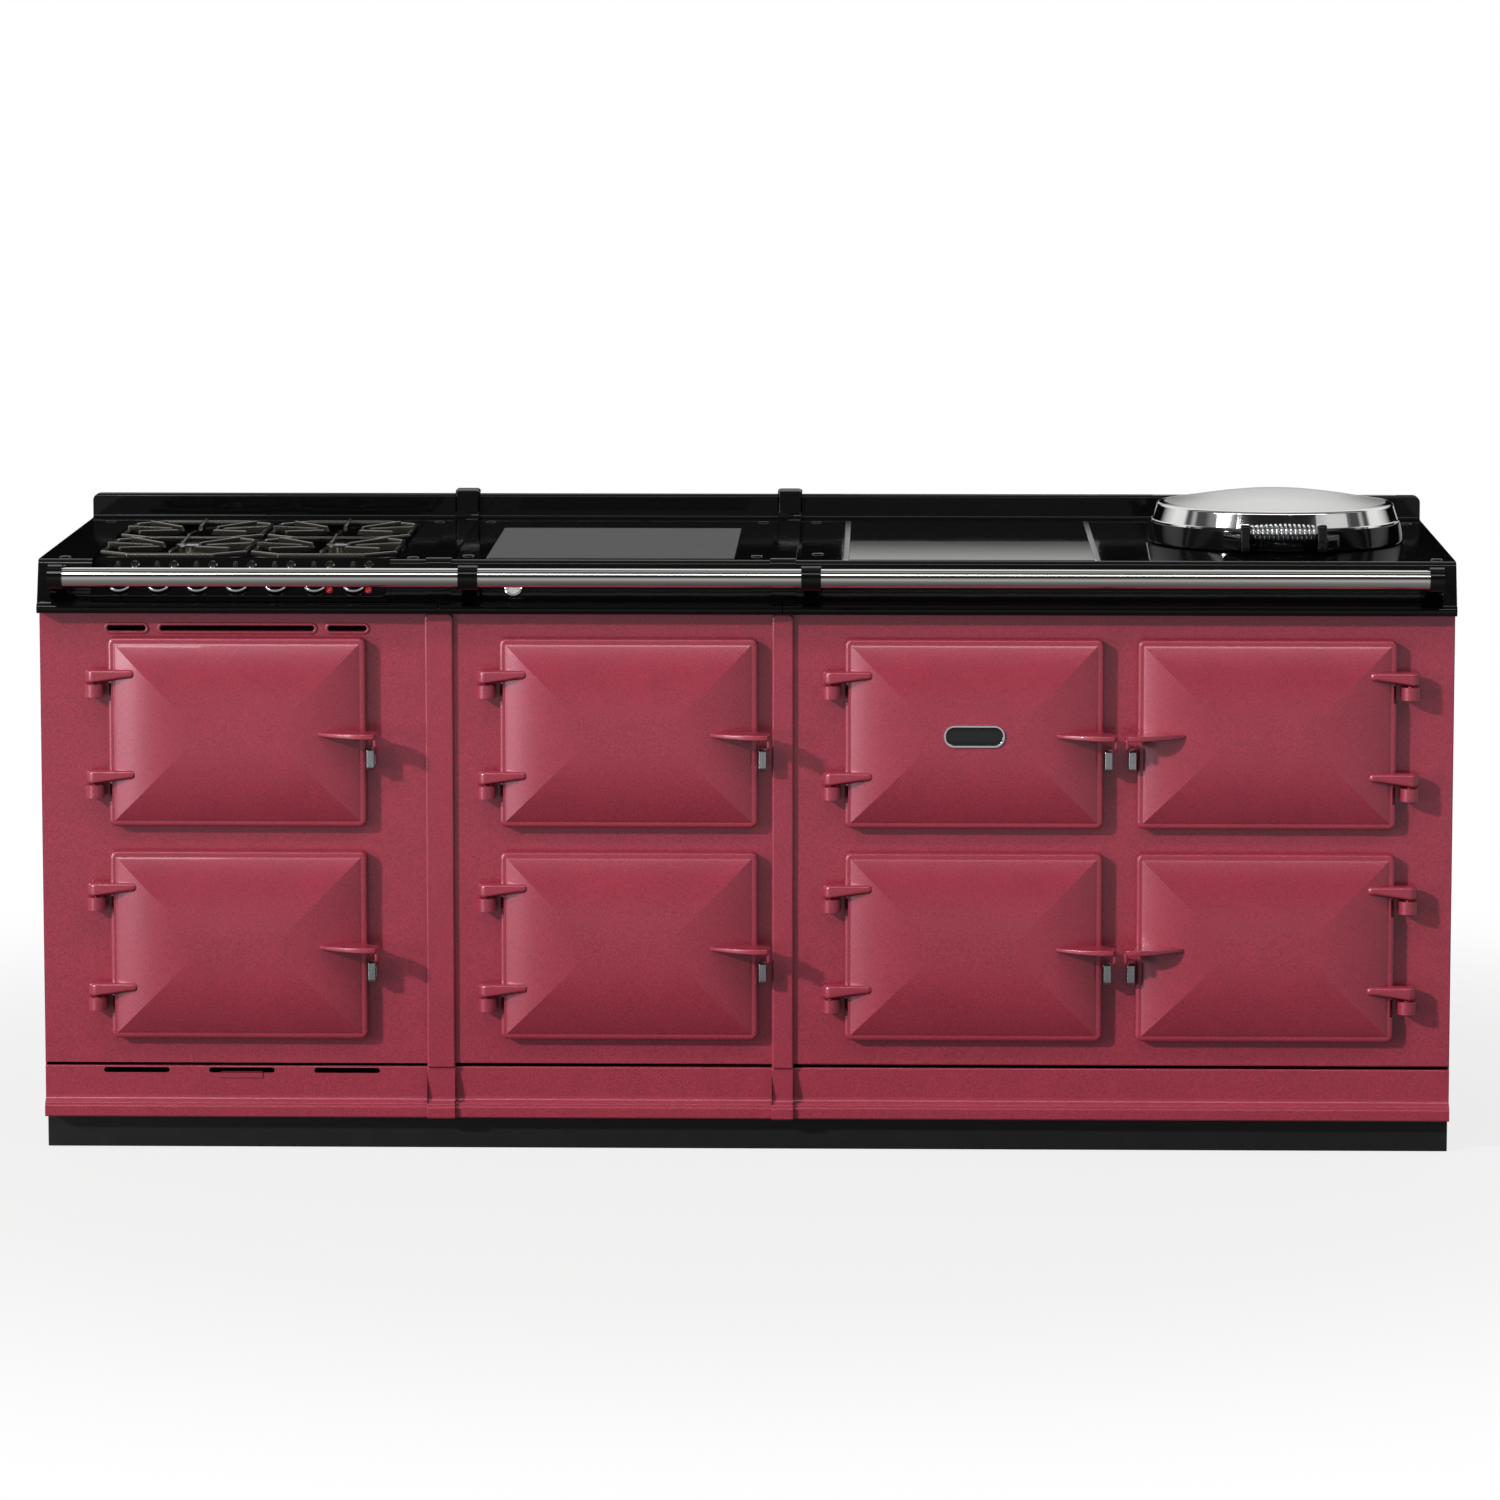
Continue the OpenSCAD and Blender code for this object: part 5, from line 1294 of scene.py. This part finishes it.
# %% Coil handle
lay_down()
bpy.ops.mesh.primitive_circle_add(vertices=10, radius=1.6 * MM, location=(0, 9.4 * MM, 0),
                                  rotation=(0, 0, 0))
coil = named("coil_grip")
modify(coil, "SCREW", axis="X", angle=2 * math.pi, screw_offset=6.91 * MM, iterations=14, steps=28,
       render_steps=28, use_normal_calculate=True)
low = min(v.co.x for v in coil.data.vertices)
high = max(v.co.x for v in coil.data.vertices)
with editing(coil):
    pick("EDGE", lambda middle, edge: edge.is_boundary)
    bpy.ops.mesh.edge_face_add()
for vert in coil.data.vertices:
    along = (vert.co.x - low) / (high - low)
    turn = math.atan2(vert.co.z, vert.co.y)
    swell = 2.4 * MM * math.sin(math.pi * along)
    vert.co.y += swell * math.cos(turn)
    vert.co.z += swell * math.sin(turn)
coil.data.transform(shift(LID_X, -203, 918.4)
                    @ Matrix.Translation((-(low + high) / 2, 0, 0)))
outward(coil)
settle(smooth(coil, 60), chrome, "lid", "polished_steel", "lid_coil")
settle(from_drawing("lid_hinge", "lid_hinge_base", 1.2), black, "cooker", "black_enamel", "lid_hinge_base")

# %% [markdown]
# ## Carcass and ovens
# What is left is plain work: the ovens with their runners and shelves, the zinc coated sheet behind,
# and the plinth. The plinth, the shelves and the stubs have their right shapes in the construction
# model, so clean copies with rounded edges are enough. Three pieces inside stay as they are.

# %% Ovens and shelves
OVEN_WALL = 5


def oven(door):
    """An open box of cast iron behind a mouth, with a runner along each side for the shelf."""
    x, z, run = DOORS[door]
    middle = x + run * DOOR_MIDDLE
    half_x, half_z = MOUTH_X + OVEN_WALL, MOUTH_Z + OVEN_WALL
    box = block("oven", (middle - half_x, -294, z - half_z), (middle + half_x, 151, z + half_z))
    cut(box, block("room", (middle - MOUTH_X, -300, z - MOUTH_Z),
                   (middle + MOUTH_X, 151 - OVEN_WALL, z + MOUTH_Z)))
    runners = []
    for side in (-1, 1):
        edge = middle + side * MOUTH_X
        runner = block("runner", (min(edge, edge - side * 9), -252, z - 48 - 5),
                       (max(edge, edge - side * 9), 136, z - 48))
        runners.append(soften(runner, 0.8, 2))
    return together("oven", soften(box, 1.5, 2), *runners)


for name in ("left", "middle", "right"):
    ovens = together(f"ovens_{name}", *[oven(door) for door in DOORS if door.startswith(name)])
    settle(smooth(ovens), oven_enamel, "cooker", "cast_iron", f"oven_boxes_{name}")
settle(from_drawing("shelves", "oven_shelves", 1.4, 2), sheet_steel, "cooker", "steel", "oven_shelves")

# %% Back sheet with its pressings, louvres, cover strips and screws
def louvre(middle, z):
    """A hood pressed out of the sheet over a slot of air."""
    hood = swept("louvre", [(351.5, z + 9), (358, z + 3), (360, z - 1), (360, z - 2.4), (351.5, z - 2.4)],
                 middle - 52, middle + 52)
    return soften(hood, 2.2, 3, angle=20)


def back_screw(x, z, seat=352):
    return rod("screw", (x, seat - 0.5, z), (x, seat + 2.2, z), 4.4, 20, tip=2.8)


back = [from_drawing("back_sheet", "back_panel", 0.4, 1)]
for low, high, first in ((X0, X1, X0 + 130), (X1, X2, X1 + 104), (X2, X3, X2 + 320)):
    pressing = rounded_block("pressing", (low + 56, 351.5, 186), (high - 56, 355.5, 690), 26, segments=8)
    back.append(soften(pressing, 3.4, 4, angle=50))
    count = int((high - 60 - first) // 130)
    back += [louvre(first + 130 * i, z) for i in range(count + 1) for z in (722, 744, 766)]
    back += [back_screw(x, z) for x in (low + 32, (low + high) / 2, high - 32) for z in (72, 790)]
    back += [back_screw(x, z) for x in (low + 32, high - 32) for z in (300, 545)]
for joint in (X1, X2):
    cover = block("cover", (joint - 17, 351.5, 56), (joint + 17, 353.6, 804))
    back.append(soften(cover, 0.8, 2))
    back += [back_screw(joint, z, 353.6) for z in (90, 270, 450, 630, 780)]
settle(smooth(together("back_sheet", *back)), zinc_sheet, "cooker", "steel", "back_panel")

# %% Plinth, tray and services
settle(from_drawing("plinth_boards", "plinth", 1.2), plinth_black, "cooker", "plinth_black", "plinth")
settle(from_drawing("service_stubs", "service_spigots", 0.5, 2), brushed, "cooker", "steel", "service_spigots")
for node, material in (("base_tray", sheet_steel), ("upright_panels", raspberry),
                       ("oven_elements", element_skin)):
    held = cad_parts[node].data
    held.materials.clear()
    held.materials.append(material)
